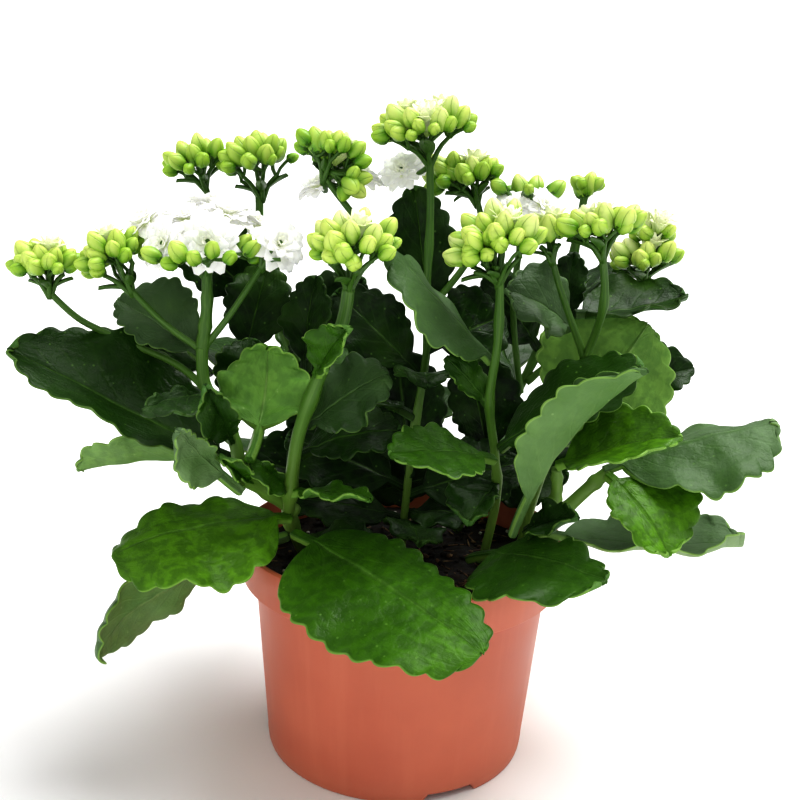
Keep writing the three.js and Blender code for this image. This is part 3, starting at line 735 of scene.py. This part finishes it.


# Each look's bloom value sets the pale waxy bloom together with a painted sheen.
# Each look's youth value paints shade as well as the leaf's age: leaves that sit in deep shade get
# values near 0.1 and come out nearly black, lit ones up to 0.8.
LEAVES = {
    "left_long": (((-57, -30, 117), (-130, -34, 155), (-105, -10, 160), (-97, -48, 133), -3, 0.08),
        {"youth_and_shade": 0.28, "wave": 1.8, "cup": 4, "hook": -3}),
    "left_behind": (((-61, -12, 112), (-118, -6, 104), (-103, 10, 101), (-96, -18, 118), 2, 0.2),
        {"youth_and_shade": 0.7, "bloom_and_sheen": 0.3}),
    "front_left": (((-39, -24, 95), (-94, -50, 92), (-74, -22, 96), (-59, -62, 81), 3, 0.1),
        {"youth_and_shade": 0.8, "full": 0.5, "wave": 2.2, "hook": -3}),
    "low_left": (((-40, -18, 86), (-104, -46, 58), (-86, -32, 46), (-96, -52, 78), 5, 0.45),
        {"youth_and_shade": 0.6, "bloom_and_sheen": 0.45, "curl_left": -6, "curl_right": 4, "hook": -9}),
    "front_centre": (((-38, -26, 90), (24, -86, 79), (-26, -78, 74), (15, -54, 90), 4, 0.14),
        {"youth_and_shade": 0.62, "wave": 1.4, "cup": -1.5, "full": 1}),
    "front_right": (((24, -14, 78), (64, -62, 93), (37, -74, 83), (58, -38, 92), 5, 0.25),
        {"youth_and_shade": 0.5, "full": 0.5, "bloom_and_sheen": 0.03}),
    "right_low": (((50, -8, 87), (122, -12, 88), (90, -30, 90), (92, 16, 91), -3, 0.12),
        {"youth_and_shade": 0.62, "bloom_and_sheen": 0.85, "curl_right": 3, "wave": 2.5}),
    "right_ribbed": (((70, -12, 113), (130, -8, 132), (96, -34, 106), (108, 16, 118), 2, 0.1),
        {"youth_and_shade": 0.5, "bloom_and_sheen": 0.6, "wave": 1.8, "waves": 2.6, "cup": 2, "ribs": 0.9}),
    "right_drooping": (((71, -15, 112), (89, -39, 93), (69, -35, 101), (106, -23, 101), 3, 0.1),
        {"youth_and_shade": 0.78, "wave": 1.2}),
    "right_bright": (((52, -22, 117), (89, -38, 134), (67, -51, 124), (71, -21, 136), 2, 0.08),
        {"youth_and_shade": 0.8, "bloom_and_sheen": 0.03, "cup": 4, "wave": 1}),
    "right_folded": (((37, -34, 95), (72, -54, 160), (47, -54, 142), (56, -42, 145), 6, 0.2),
        {"youth_and_shade": 0.5, "bloom_and_sheen": 0.35, "cup": 3, "wave": 1}),
    "right_scalloped": (((32, -21, 122), (76, -28, 156), (63, -33, 133), (46, -5, 141), 3, 0.06),
        {"youth_and_shade": 0.38, "wave": 1.4}),
    "centre_front": (((30, -24, 119), (-5, -52, 129), (10, -26, 129), (11, -58, 121), 2, 0.16),
        {"youth_and_shade": 0.58, "wave": 1}),
    "right_upper": (((59, 3, 120), (85, 9, 162), (42, 15, 148), (110, 13, 154), -3, 0.08),
        {"youth_and_shade": 0.8, "bloom_and_sheen": 0.03, "cup": -3}),
    "right_top": (((58, 6, 165), (99, 14, 172), (74, -8, 169), (79, 28, 178), -2, 0.08),
        {"youth_and_shade": 0.12, "bloom_and_sheen": 0.04}),
    "right_back": (((72, 32, 127), (110, 34, 141), (95, 26, 128), (93, 38, 150), 3, 0.15),
        {"youth_and_shade": 0.12}),
    "centre_right": (((56, 3, 160), (32, -8, 175), (46, 6, 183), (40, -16, 162), 3, 0.1),
        {"youth_and_shade": 0.2, "bloom_and_sheen": 0.35, "wave": 2.2}),
    "back_right_top": (((58, 24, 158), (60, 30, 184), (66, 24, 175), (52, 30, 174), 2, 0.12),
        {"youth_and_shade": 0.08}),
    "centre_grey": (((27, -27, 154), (-8, -40, 192), (8, -14, 174), (-4, -52, 173), 0, 0.08),
        {"youth_and_shade": 0.42, "bloom_and_sheen": 0.35, "wave": 1.2}),
    "back_upright": (((6, 14, 162), (-1, 14, 207), (15, 12, 191), (-12, 10, 192), 2, 0.1),
        {"youth_and_shade": 0.12}),
    "left_rolled": (((-51, -44, 122), (-48, -16, 150), (-66, -34, 148), (-30, -33, 149), 8, 0.4),
        {"youth_and_shade": 0.66, "cup": 7, "wave": 3.4, "waves": 2.2, "hook": -5}),
    "left_rolled_behind": (((-60, -16, 126), (-56, -2, 153), (-44, -8, 149), (-68, -12, 145), 2, 0.15),
        {"youth_and_shade": 0.35}),
    "centre_rolled": (((-29, -46, 152), (-19, -60, 170), (-20, -62, 162), (-32, -50, 164), 2, 0.12),
        {"youth_and_shade": 0.6}),
    "dark_left": (((-70, -6, 140), (-98, 10, 155), (-87, 18, 154), (-88, -10, 135), 3, 0.12),
        {"youth_and_shade": 0.1}),
    "dark_back_left": (((-60, 10, 143), (-53, 20, 177), (-42, 14, 165), (-68, 14, 167), 3, 0.12),
        {"youth_and_shade": 0.1}),
    "dark_centre_left": (((-37, 2, 141), (-34, 6, 175), (-26, -2, 163), (-45, 6, 160), 3, 0.12),
        {"youth_and_shade": 0.1}),
    "centre_upper": (((-33, -29, 130), (-8, -38, 151), (-10, -42, 135), (-24, -20, 149), 2, 0.1),
        {"youth_and_shade": 0.25, "bloom_and_sheen": 0.2, "wave": 2.4}),
    "centre_large": (((-36, -24, 118), (-2, -24, 128), (-18, -34, 117), (-21, -4, 129), 3, 0.1),
        {"youth_and_shade": 0.15}),
    "centre_small": (((-38, -29, 106), (-11, -52, 114), (-22, -54, 112), (-22, -35, 110), 1, 0.1),
        {"youth_and_shade": 0.62}),
    "left_upright": (((-54, -38, 109), (-72, -56, 135), (-71, -60, 120), (-62, -47, 127), 2, 0.3),
        {"youth_and_shade": 0.5, "bloom_and_sheen": 0.7, "cup": -3}),
    "left_dark_small": (((-58, -36, 126), (-63, -54, 149), (-55, -48, 141), (-67, -56, 139), 2, 0.15),
        {"youth_and_shade": 0.3}),
    "left_dull": (((-66, -31, 139), (-82, -56, 141), (-78, -44, 142), (-72, -60, 137), 2, 0.12),
        {"youth_and_shade": 0.15, "bloom_and_sheen": 0.08}),
    "left_grey": (((-69, -20, 149), (-102, -6, 166), (-92, 2, 178), (-91, -20, 152), 2, 0.15),
        {"youth_and_shade": 0.3, "bloom_and_sheen": 0.4}),
    "right_rim": (((44, -16, 90), (58, -36, 104), (50, -42, 99), (52, -24, 104), 2, 0.15),
        {"youth_and_shade": 0.3}),
    "back_left_low": (((-26, 30, 84), (-70, 93, 86), (-33, 80, 88), (-72, 54, 88), 6, 0.15),
        {"youth_and_shade": 0.4}),
    "back_right_low": (((28, 34, 84), (72, 93, 90), (74, 58, 92), (37, 80, 92), 6, 0.15),
        {"youth_and_shade": 0.45}),
}

for seed, (name, (shape, look)) in enumerate(LEAVES.items()):
    bm = start_leaf_mesh()
    grow_leaf(bm, *shape, {"seed": seed, **look})
    mesh = finish_mesh(bm, "leaf_" + name)
    flesh_out(show_piece("blade_" + name, mesh, ["leaf_" + name], [leaf_top, leaf_back]))

# Inner leaves ------------------------------------------------------------------------------
# Smaller, darker blades that fill the middle and the back of the plant; their dark colour is painted
# shade, from youth values near zero that take them nearly to black. They grow like the others; those of
# one stem make one piece of their own, apart from the stem.

INNER_LEAVES = {
    "left": (
        (((-39, -26, 106), (-51, -40, 121), (-48, -36, 120), (-49, -42, 112), 1, 0.1), 0.5),
        (((-52, -33, 111), (-60, -47, 124), (-52, -44, 122), (-58, -46, 120), 1, 0.1), 0.6),
        (((-36, -8, 80), (-10, -22, 86), (-26, -26, 80), (-19, -8, 86), 2, 0.15), 0.05),
    ),
    "centre": (
        (((2, 9, 108), (6, 64, 124), (21, 40, 118), (-13, 40, 118), 4, 0.15), 0.25),
        (((3, 6, 124), (-30, 20, 128), (-9, 27, 129), (-21, 1, 129), 3, 0.15), 0.12),
        (((5, 4, 138), (6, -22, 145), (-6, -12, 142), (17, -12, 142), 3, 0.15), 0.1),
        (((1, 11, 95), (-45, 16, 112), (-19, 24, 117), (-30, 4, 92), 3, 0.15), 0.05),
        (((1, 11, 92), (44, 20, 104), (30, 6, 87), (19, 25, 110), 3, 0.15), 0.05),
        (((0, 12, 82), (-44, 6, 91), (-24, 22, 93), (-22, -4, 81), 2, 0.15), 0.05),
        (((0, 11, 81), (6, -26, 88), (-8, -11, 87), (15, -8, 83), 2, 0.15), 0.1),
        (((2, 9, 100), (-5, 20, 148), (15, 23, 126), (-23, 20, 124), 3, 0.1), 0.0),
        (((1, 12, 84), (24, 2, 88), (12, -8, 84), (16, 14, 88), 2, 0.15), 0.05),
        (((4, 5.5, 140), (-28, 14, 168), (-4, 16, 164), (-23, 5, 146), 3, 0.15), 0.05),
        (((6, 4.5, 150), (34, 16, 162), (27, 6, 144), (15, 16, 172), 3, 0.15), 0.05),
    ),
    "centre_right": (
        (((27, -26, 139), (12, -28, 155), (24, -22, 151), (14, -26, 146), 1, 0.1), 0.4),
        (((32, -14, 106), (22, -36, 100), (14, -22, 104), (31, -30, 103), 2, 0.1), 0.2),
    ),
    "back_left": (
        (((-34, 31, 118), (-94, 58, 138), (-60, 62, 131), (-76, 30, 131), 4, 0.15), 0.3),
        (((-37, 30, 124), (-34, 86, 146), (-19, 62, 138), (-55, 66, 138), 4, 0.15), 0.4),
        (((-48, 30, 150), (-88, 42, 176), (-67, 50, 166), (-75, 24, 166), 3, 0.15), 0.1),
        (((-24, 29, 88), (-62, 22, 100), (-43, 37, 107), (-46, 13, 83), 3, 0.15), 0.05),
        (((-22.5, 28.3, 84), (14, 43, 91), (-5, 34, 79), (-5, 38, 101), 3, 0.12), 0.0),
        (((-29, 29, 103), (-36, 26, 142), (-27, 28, 124), (-50, 25, 122), 3, 0.12), 0.0),
        (((-46, 30, 142), (-18, 22, 172), (-20, 22, 148), (-41, 29, 169), 3, 0.15), 0.05),
        (((-56, 30, 160), (-88, 18, 190), (-65, 27, 186), (-81, 20, 167), 3, 0.15), 0.05),
    ),
    "back_right": (
        (((31, 35, 98), (96, 58, 108), (75, 31, 105), (61, 65, 105), 4, 0.2), 0.4),
        (((43, 36, 130), (26, 86, 150), (51, 73, 143), (19, 59, 143), 4, 0.15), 0.35),
        (((55, 39, 158), (92, 58, 176), (81, 39, 170), (71, 63, 170), 3, 0.15), 0.1),
        (((27, 33, 88), (64, 28, 98), (48, 20, 83), (46, 41, 104), 3, 0.15), 0.05),
        (((33, 34.5, 102), (21, 28, 146), (44, 30, 130), (14, 27, 128), 3, 0.1), 0.0),
        (((50, 38, 145), (28, 30, 174), (48, 38, 170), (28, 30, 152), 3, 0.15), 0.05),
    ),
}

INNER_ROWS = 60
FIRST_INNER_SEED = 40

for side, stems in stem_meshes.items():
    mesh = finish_mesh(stems, "stem_" + side)
    show_piece("stem_" + side, mesh, ["shoot_" + side], [green_stem])
    if side not in INNER_LEAVES:
        continue
    # Painted shade: most inner leaves get youth values near zero, so they come out nearly black like the
    # shaded inside of the plant.
    bm = start_leaf_mesh()
    for seed, (shape, youth_and_shade) in enumerate(INNER_LEAVES[side]):
        grow_leaf(bm, *shape, {"seed": seed + FIRST_INNER_SEED, "youth_and_shade": youth_and_shade, "rows": INNER_ROWS})
    mesh = finish_mesh(bm, "inner_leaves_" + side)
    flesh_out(show_piece("inner_leaves_" + side, mesh, [], [leaf_top, leaf_back]))

# Flower heads ------------------------------------------------------------------------------
# Branched clusters of fat yellow-green buds on thin stalks, with a few small bracts and, on
# the left, open double flowers of many white petals. Buds open from the middle outwards.

bud_skin, tree, shader = new_material("bud_skin")
surface = add_node(tree, "ShaderNodeTexCoord", {})
shares = add_node(tree, "ShaderNodeSeparateXYZ", {"Vector": surface.outputs["UV"]}).outputs
ripe = add_node(tree, "ShaderNodeAttribute", {}, attribute_name="ripe").outputs["Fac"]
freckle = noise_value(tree, surface.outputs["Object"], 350, 3)
turns = math_node(tree, "MULTIPLY", shares["X"], 4)
turns = math_node(tree, "ADD", turns, math_node(tree, "MULTIPLY", shares["Y"], 0.9))
fold = math_node(tree, "PINGPONG", turns, 0.5)
seam = fade(tree, fold, 0.07, 0.0)
# Painted light and shade: the wide band between the seams is mixed towards the pale tip colour, so each
# petal lobe looks lit and rounded and darker near the seams.
painted_lobe_light = fade(tree, fold, 0.12, 0.42, 0.0, 1.0)
# From the foot to the tip the bud runs from darker green to pale yellow-cream: partly its real pale tip,
# partly painted shade at the foot and painted highlight at the tip.
lower = ramp(tree, ripe, ((0, (0.07, 0.24, 0.01)), (0.6, (0.18, 0.41, 0.02)), (1, (0.38, 0.58, 0.08))))
upper = ramp(tree, ripe, ((0, (0.34, 0.56, 0.05)), (0.6, (0.68, 0.8, 0.2)), (1, (0.92, 0.94, 0.58))))
tint = mix_colours(tree, fade(tree, shares["Y"], 0.3, 0.85), lower, upper)
tint = mix_colours(tree, math_node(tree, "MULTIPLY", painted_lobe_light, 0.35), tint, upper)
# Painted shade: a darker green line along each seam, where shade falls in the crease.
painted_seam_shade = math_node(tree, "MULTIPLY", seam, 0.5)
painted_seam_shade = math_node(tree, "MULTIPLY", painted_seam_shade, fade(tree, shares["Y"], 0.98, 0.8))
tint = mix_colours(tree, painted_seam_shade, tint, (0.16, 0.33, 0.02))
tint = mix_colours(tree, fade(tree, freckle, 0.55, 0.8, 0, 0.3), tint, (0.16, 0.33, 0.03))
swell = math_node(tree, "MULTIPLY", freckle, 0.2)
swell = math_node(tree, "ADD", math_node(tree, "MULTIPLY", seam, -1), swell)
finish_skin(tree, shader, tint, fade(tree, freckle, 0.3, 0.7, 0.35, 0.55), swell, 0.5, 0.0006)
let_light_in(shader, 0.15, (0.0015, 0.002, 0.0005))

petal_skin, tree, shader = new_material("petal_skin")
surface = add_node(tree, "ShaderNodeTexCoord", {})
shares = add_node(tree, "ShaderNodeSeparateXYZ", {"Vector": surface.outputs["UV"]}).outputs
ripe = add_node(tree, "ShaderNodeAttribute", {}, attribute_name="ripe").outputs["Fac"]
lines = noise_value(tree, stretched(tree, surface.outputs["UV"], (9, 1.2, 1)), 2, 3)
heart = ramp(tree, ripe, ((0, (0.35, 0.55, 0.08)), (1, (0.72, 0.8, 0.42))))
brim = ramp(tree, ripe, ((0, (0.72, 0.82, 0.34)), (0.5, (0.88, 0.9, 0.68)), (1, (0.93, 0.93, 0.9))))
tint = mix_colours(tree, fade(tree, shares["Y"], 0.05, 0.5), heart, brim)
tint = mix_colours(tree, fade(tree, lines, 0.5, 0.75, 0, 0.2), tint, (0.72, 0.78, 0.6))
finish_skin(tree, shader, tint, fade(tree, lines, 0.3, 0.7, 0.5, 0.7), lines, 0.3, 0.0004)
let_light_in(shader, 0.25, (0.002, 0.002, 0.0015))
# Painted light: the petals glow faintly in their own colour, though they are no lamp, to keep them
# bright white.
tree.links.new(tint, shader.inputs["Emission Color"])
shader.inputs["Emission Strength"].default_value = 0.08


def start_head_mesh():
    """An empty mesh with the layers that a flower head fills in."""
    bm = bmesh.new()
    bm.loops.layers.uv.new("UVMap")
    bm.verts.layers.float.new("ripe")
    return bm


def head_part(shape):
    """A mesh of its own for one bud or flower, to be copied many times."""
    bm = start_head_mesh()
    shape(bm)
    return finish_mesh(bm, shape.__name__)


GREEN_PART = 2
GREEN_STALK = 3
SEPAL_COLUMNS = 8
UPRIGHT = Vector((0, 0, 1))


def closed_bud(bm):
    """An egg-shaped bud one unit high with four pointed sepals round its foot."""
    ball = bmesh.ops.create_uvsphere(bm, u_segments=16, v_segments=10, radius=0.5, calc_uvs=True)
    for vert in ball["verts"]:
        level = vert.co.z * 2
        angle = math.atan2(vert.co.y, vert.co.x)
        girth = 0.98 * (1 - 0.15 * level) * (1 + 0.06 * math.cos(4 * angle + 2 * level))
        if level > 0.5:
            girth *= 1 - 0.3 * (level - 0.5)
        vert.co.x *= girth
        vert.co.y *= girth
        vert.co.z += 0.5
    cup = bmesh.ops.create_grid(bm, x_segments=SEPAL_COLUMNS, y_segments=2, size=0.5, calc_uvs=True)
    for vert in cup["verts"]:
        column = round((vert.co.x + 0.5) * SEPAL_COLUMNS)
        row = round((vert.co.y + 0.5) * 2)
        angle = 2 * math.pi * column / SEPAL_COLUMNS
        point = column % 2 == 0
        level = (0.0, 0.1, 0.42 if point else 0.2)[row]
        radius = (0.08, 0.36, 0.5 if point else 0.47)[row]
        vert.co = (radius * math.cos(angle), radius * math.sin(angle), level)
    for face in faces_of(cup["verts"]):
        face.material_index = GREEN_PART
    bmesh.ops.remove_doubles(bm, verts=cup["verts"], dist=1e-4)


def petal(bm, length, width, tilt, droop, turn, ripeness):
    """One petal from the middle of a flower: tilt is its lean from upright, in degrees."""
    sheet = bmesh.ops.create_grid(bm, x_segments=2, y_segments=4, size=0.5, calc_uvs=True)
    layer = bm.verts.layers.float["ripe"]
    spin = Matrix.Rotation(turn, 3, "Z")
    for vert in sheet["verts"]:
        share = vert.co.y + 0.5
        across = 2 * vert.co.x
        lean = math.radians(tilt + droop * share * share)
        half = width / 2 * max(0.12, math.sin(math.pi * (0.1 + 0.86 * share) ** 1.15) ** 0.7)
        reach = length * share
        cup = 0.18 * width * (across * across - 0.4) * math.sin(math.pi * share)
        out = 0.02 + reach * math.sin(lean) - cup * math.cos(lean)
        up = reach * math.cos(lean) + cup * math.sin(lean)
        vert.co = spin @ Vector((out, across * half, up))
        vert[layer] = ripeness
    faces = list(faces_of(sheet["verts"]))
    for face in faces:
        face.material_index = 1
    bmesh.ops.recalc_face_normals(bm, faces=faces)
    bmesh.ops.solidify(bm, geom=faces, thickness=0.022)


def open_flower(bm):
    """A flat double flower one unit high from its foot, about two units across."""
    rings = (
        (8, 1.05, 0.62, 80, 12),
        (8, 0.95, 0.56, 66, 14),
        (8, 0.78, 0.46, 50, 16),
        (7, 0.58, 0.36, 33, 14),
        (5, 0.4, 0.24, 16, 8),
    )
    for ring, (count, length, width, tilt, droop) in enumerate(rings):
        for i in range(count):
            turn = 2 * math.pi * (i + 0.5 * (ring % 2) + 0.07 * ring) / count
            wobble = 6 * math.sin(5.3 * i + 2.1 * ring)
            petal(bm, length, width, tilt + wobble, droop, turn, 1.0 - 0.12 * max(0, ring - 2))


def half_open_flower(bm):
    """A bud whose outer petals have begun to spread round its packed heart."""
    rings = ((6, 1.0, 0.6, 24, 22), (6, 0.98, 0.52, 15, 12), (5, 0.9, 0.44, 8, 4))
    for ring, (count, length, width, tilt, droop) in enumerate(rings):
        for i in range(count):
            turn = 2 * math.pi * (i + 0.5 * (ring % 2)) / count
            wobble = 4 * math.sin(4.1 * i + 1.7 * ring)
            petal(bm, length, width, tilt + wobble, droop, turn, 0.3 + 0.1 * ring)


BUD = head_part(closed_bud)
OPEN_FLOWER = head_part(open_flower)
HALF_OPEN = head_part(half_open_flower)


def set_down(bm, part, foot, facing, width, length, turn, ripeness=None):
    """Copies a bud or flower into the head, its foot at a point and its top facing away."""
    lean = UPRIGHT.rotation_difference(facing).to_matrix().to_4x4()
    size = Matrix.Diagonal((width, width, length, 1))
    copied = part.copy()
    copied.transform(Matrix.Translation(foot) @ lean @ Matrix.Rotation(turn, 4, "Z") @ size)
    if ripeness is not None:
        for vert in copied.attributes["ripe"].data:
            vert.value = ripeness
    bm.from_mesh(copied)
    bpy.data.meshes.remove(copied)


def bract(bm, foot, facing, length):
    """A small plain leaf below the flowers, folded along its middle."""
    sheet = bmesh.ops.create_grid(bm, x_segments=4, y_segments=7, size=0.5, calc_uvs=True)
    side = facing.cross(UPRIGHT).normalized()
    up = side.cross(facing).normalized()
    for vert in sheet["verts"]:
        share = vert.co.y + 0.5
        across = 2 * vert.co.x
        half = 0.17 * length * max(0.1, math.sin(math.pi * share**1.1))
        lift = 0.1 * length * abs(across) - 0.25 * length * share * share
        vert.co = foot + facing * length * share + side * half * across + up * lift
    faces = list(faces_of(sheet["verts"]))
    for face in faces:
        face.material_index = GREEN_PART
    bmesh.ops.solidify(bm, geom=faces, thickness=0.45 * MM)


HEADS = {
    "far_left": (((-121, -20, 169), (-122, -20, 188), 10.5, 22, 0.35, 1),),
    "left": (((-93, -22, 171), (-104, -22, 192), 10.5, 21, 0.4, 1),),
    "left_white": (
        ((-68, -25, 178), (-70, -24, 200), 17, 23, 0.3, 0),
        ((-79, -19, 184), (-93, -10, 203), 10, 12, 0.35, 0),
    ),
    "left_inner": (((-50, -22, 181), (-43, -20, 199), 10, 14, 0.3, 0),),
    "back_left": (
        ((-57, 30, 199), (-62, 30, 224), 14, 23, 0.25, 0),
        ((-78, 30, 202), (-84, 29, 220), 12, 16, 0.25, 0),
    ),
    "back_centre": (
        ((-31.5, -6, 209), (-26, 0, 225), 12, 18, 0.3, 1),
        ((-29, -6, 212), (-16, -9, 207), 6, 6, 0.3, 0),
    ),
    "top": (((4, 8, 215), (0, 8, 237), 17, 29, 0.5, 4),),
    "back_right": (
        ((22, 22, 201), (17, 24, 219), 11, 17, 0.35, 1),
        ((20, 23, 204), (3, 27, 215), 8, 9, 0.35, 0),
    ),
    "back_far_right": (((40, 20, 199), (40, 22, 214), 13, 18, 0.4, 1),),
    "front": (((-20, -48, 179), (-20, -52, 204), 14, 26, 0.55, 1),),
    "front_right": (
        ((27, -32, 180), (27, -34, 207), 13, 22, 0.5, 1),
        ((26, -33, 182), (14, -36, 199), 10, 12, 0.5, 0),
    ),
    "right_inner": (((46, -14, 186), (42, -12, 203), 8, 10, 0.5, 1),),
    "right": (((61, -24, 189), (58, -22, 208), 13, 22, 0.5, 2),),
    "right_low": (
        ((88, 34, 172), (85, 34, 191), 13, 18, 0.5, 1),
        ((90, 36, 180), (90, 38, 201), 10, 10, 0.6, 3),
    ),
    "far_back": (((65, 48, 203), (65, 50, 213), 7, 9, 0.35, 0),),
}

OPEN_FLOWERS = {
    "left_white": (
        ((-67, -27, 190), (0.02, -0.93, 0.25), 10.5),
        ((-82, -26, 189), (-0.45, -0.8, 0.35), 9),
        ((-91, -14, 195), (-0.6, -0.35, 0.7), 9),
        ((-76, -14, 197), (-0.15, -0.3, 0.95), 10),
        ((-62, -16, 199), (0.2, -0.3, 0.95), 10),
        ((-70, -2, 200), (0, 0.3, 0.95), 10),
        ((-54, -10, 196), (0.6, -0.1, 0.8), 9),
    ),
    "left_inner": (((-44, -22, 190), (0.55, -0.7, 0.4), 9.5),),
    "back_centre": (((-34, 6, 208), (-0.4, -0.2, 0.8), 9), ((-20, 4, 212), (0.3, -0.2, 0.9), 9)),
    "top": (((-6, 18, 213), (-0.3, -0.6, 0.7), 9),),
    "back_far_right": (((46, 16, 203), (0.4, -0.5, 0.75), 9), ((34, 14, 202), (-0.2, -0.6, 0.7), 8)),
}

FIRST_HEAD_SEED = 11
FORKS = 5
BRACTS = 3
GOLDEN_TURN = 2.39996
CROWDED_FROM = 4
CROWDED_DROP = 0.25
CROWDED_BARE = 0.95
BUD_WIDTH = 6.7
BUD_LENGTH = 10.4
BUD_STALK = 0.62
FLOWER_STALK = 0.9
FLOWER_CLEARANCE = 0.75


def outward(around):
    """The level direction at an angle round the upright."""
    return Vector((math.cos(around), math.sin(around), 0))


for order, (name, umbels) in enumerate(HEADS.items()):
    dice = random.Random(order + FIRST_HEAD_SEED)
    bm = start_head_mesh()
    flowers = OPEN_FLOWERS.get(name, ())
    crowded = len(flowers) >= CROWDED_FROM
    for foot, crown, radius, count, ripeness, half_open in umbels:
        foot, crown = Vector(foot) * MM, Vector(crown) * MM
        height = (crown - foot).length
        axis = (crown - foot).normalized()
        lean = UPRIGHT.rotation_difference(axis)
        radius *= MM
        forks = []
        for i in range(FORKS):
            out = lean @ outward(2 * math.pi * i / FORKS + dice.uniform(-0.3, 0.3))
            forks.append(foot + axis * height * dice.uniform(0.3, 0.42) + out * radius * 0.5)
        forks.append(foot + axis * height * 0.5)
        for fork in forks:
            line = [foot - axis * MM, foot + (fork - foot) * 0.5 + axis * MM, fork]
            draw_tube(bm, line, lambda share: (1.0 - 0.3 * share) * MM, 6, 5, GREEN_STALK)
        for i in range(count):
            level = (i + 0.5) / count
            polar = math.acos(1 - 1.25 * level) + dice.uniform(-0.08, 0.08)
            out = outward(GOLDEN_TURN * i + dice.uniform(-0.2, 0.2))
            size = (1.08 - 0.38 * level) * dice.uniform(0.82, 1.1)
            width, length = BUD_WIDTH * MM * size, (BUD_LENGTH - 2.2 * level) * MM * size
            deep = dice.uniform(0.8, 1.12)
            top = lean @ (out * math.sin(polar) * radius * 1.14 * deep)
            top += axis * (height * (0.60 + 0.44 * math.cos(polar) * deep))
            facing = lean @ (out * math.sin(polar) * 0.95) + axis * (0.35 + math.cos(polar))
            facing.normalize()
            if crowded:
                top -= axis * height * CROWDED_DROP
            seat = foot + top - facing * length
            in_flower = any(
                (seat - Vector(spot) * MM).length < FLOWER_CLEARANCE * across * MM
                for spot, _, across in flowers
            )
            if in_flower or (crowded and polar < CROWDED_BARE):
                continue
            fork = min(forks, key=lambda place: (place - seat).length)
            middle = (fork + seat) / 2 - facing * 0.6 * MM
            line = [fork - axis * 0.5 * MM, middle, seat + facing * 0.6 * MM]
            draw_tube(bm, line, lambda share: BUD_STALK * MM, 6, 4, GREEN_STALK)
            turn = dice.uniform(0, 6.28)
            ripe = min(1, max(0, ripeness + 0.7 * (0.45 - level) + dice.uniform(-0.15, 0.15)))
            if i < half_open:
                set_down(bm, HALF_OPEN, seat, facing, length * 0.8, length * 1.1, turn)
            else:
                set_down(bm, BUD, seat, facing, width, length, turn, ripe)
        for i in range(BRACTS):
            out = lean @ outward(2.1 * i + dice.uniform(0, 1.5))
            reach = (out * 0.8 + axis * 0.65).normalized()
            bract(bm, foot + axis * 1.5 * MM, reach, dice.uniform(0.7, 1.05) * radius)
    for spot, facing, size in flowers:
        facing = Vector(facing).normalized()
        spot = Vector(spot) * MM
        foot = Vector(umbels[0][0]) * MM
        neck = spot - facing * 3 * MM
        line = [foot, (foot + neck) / 2 - facing * 2 * MM, neck, spot]
        draw_tube(bm, line, lambda share: FLOWER_STALK * MM, 6, 6, GREEN_STALK)
        turn = dice.uniform(0, 6)
        set_down(bm, OPEN_FLOWER, spot - facing * 2 * MM, facing, size * MM, size * MM, turn)
    skins = [bud_skin, petal_skin, green_stem, green_stem]
    show_piece("flowers_" + name, finish_mesh(bm, "head_" + name), ["head_" + name], skins)

# Floor, light and camera -----------------------------------------------------------------
# The pot stands on a plain white table in soft light from all round, a little stronger from
# the upper right and behind.

CAMERA_PLACE = (-0.0029, -0.3819, 0.2351)
CAMERA_DIP = 15.04
CAMERA_ROLL = 2.34
FOCAL_LENGTH = 49.5
FLOOR_HALF = 4
ROOM_LIGHT = 0.33
ROOM_WHITE = 1.15

bm = bmesh.new()
bmesh.ops.create_grid(bm, x_segments=1, y_segments=1, size=FLOOR_HALF)
floor_mesh = finish_mesh(bm, "floor")
floor = bpy.data.objects.new("floor", floor_mesh)
bpy.context.collection.objects.link(floor)
paper, tree, shader = new_material("white_table")
shader.inputs["Base Color"].default_value = (0.93, 0.93, 0.93, 1)
shader.inputs["Roughness"].default_value = 0.8
floor_mesh.materials.append(paper)

world = bpy.data.worlds.new("white_room")
bpy.context.scene.world = world
world.use_nodes = True
tree = world.node_tree
backdrop = tree.nodes["Background"]
backdrop.inputs["Color"].default_value = (1, 1, 1, 1)
seen = add_node(tree, "ShaderNodeLightPath", {}).outputs["Is Camera Ray"]
tree.links.new(fade(tree, seen, 0, 1, ROOM_LIGHT, ROOM_WHITE), backdrop.inputs["Strength"])

for name, place, spread, power in (
    ("window_light", (0.5, 0.25, 1.2), 50, 2.9),
    ("front_fill", (-0.7, -1.2, 0.9), 70, 0.6),
):
    lamp = bpy.data.lights.new(name, "SUN")
    lamp.angle = math.radians(spread)
    lamp.energy = power
    holder = bpy.data.objects.new(name, lamp)
    aim = -Vector(place)
    holder.rotation_euler = aim.to_track_quat("-Z", "Y").to_euler()
    bpy.context.collection.objects.link(holder)

lens = bpy.data.cameras.new("camera")
lens.lens = FOCAL_LENGTH
lens.sensor_width = 36
camera = bpy.data.objects.new("camera", lens)
tilt = Matrix.Rotation(math.radians(90 - CAMERA_DIP), 4, "X")
roll = Matrix.Rotation(math.radians(CAMERA_ROLL), 4, "Z")
camera.matrix_world = Matrix.Translation(CAMERA_PLACE) @ tilt @ roll
bpy.context.collection.objects.link(camera)
bpy.context.scene.camera = camera
bpy.context.scene.view_settings.view_transform = "Standard"
bpy.context.scene.view_settings.look = "High Contrast"
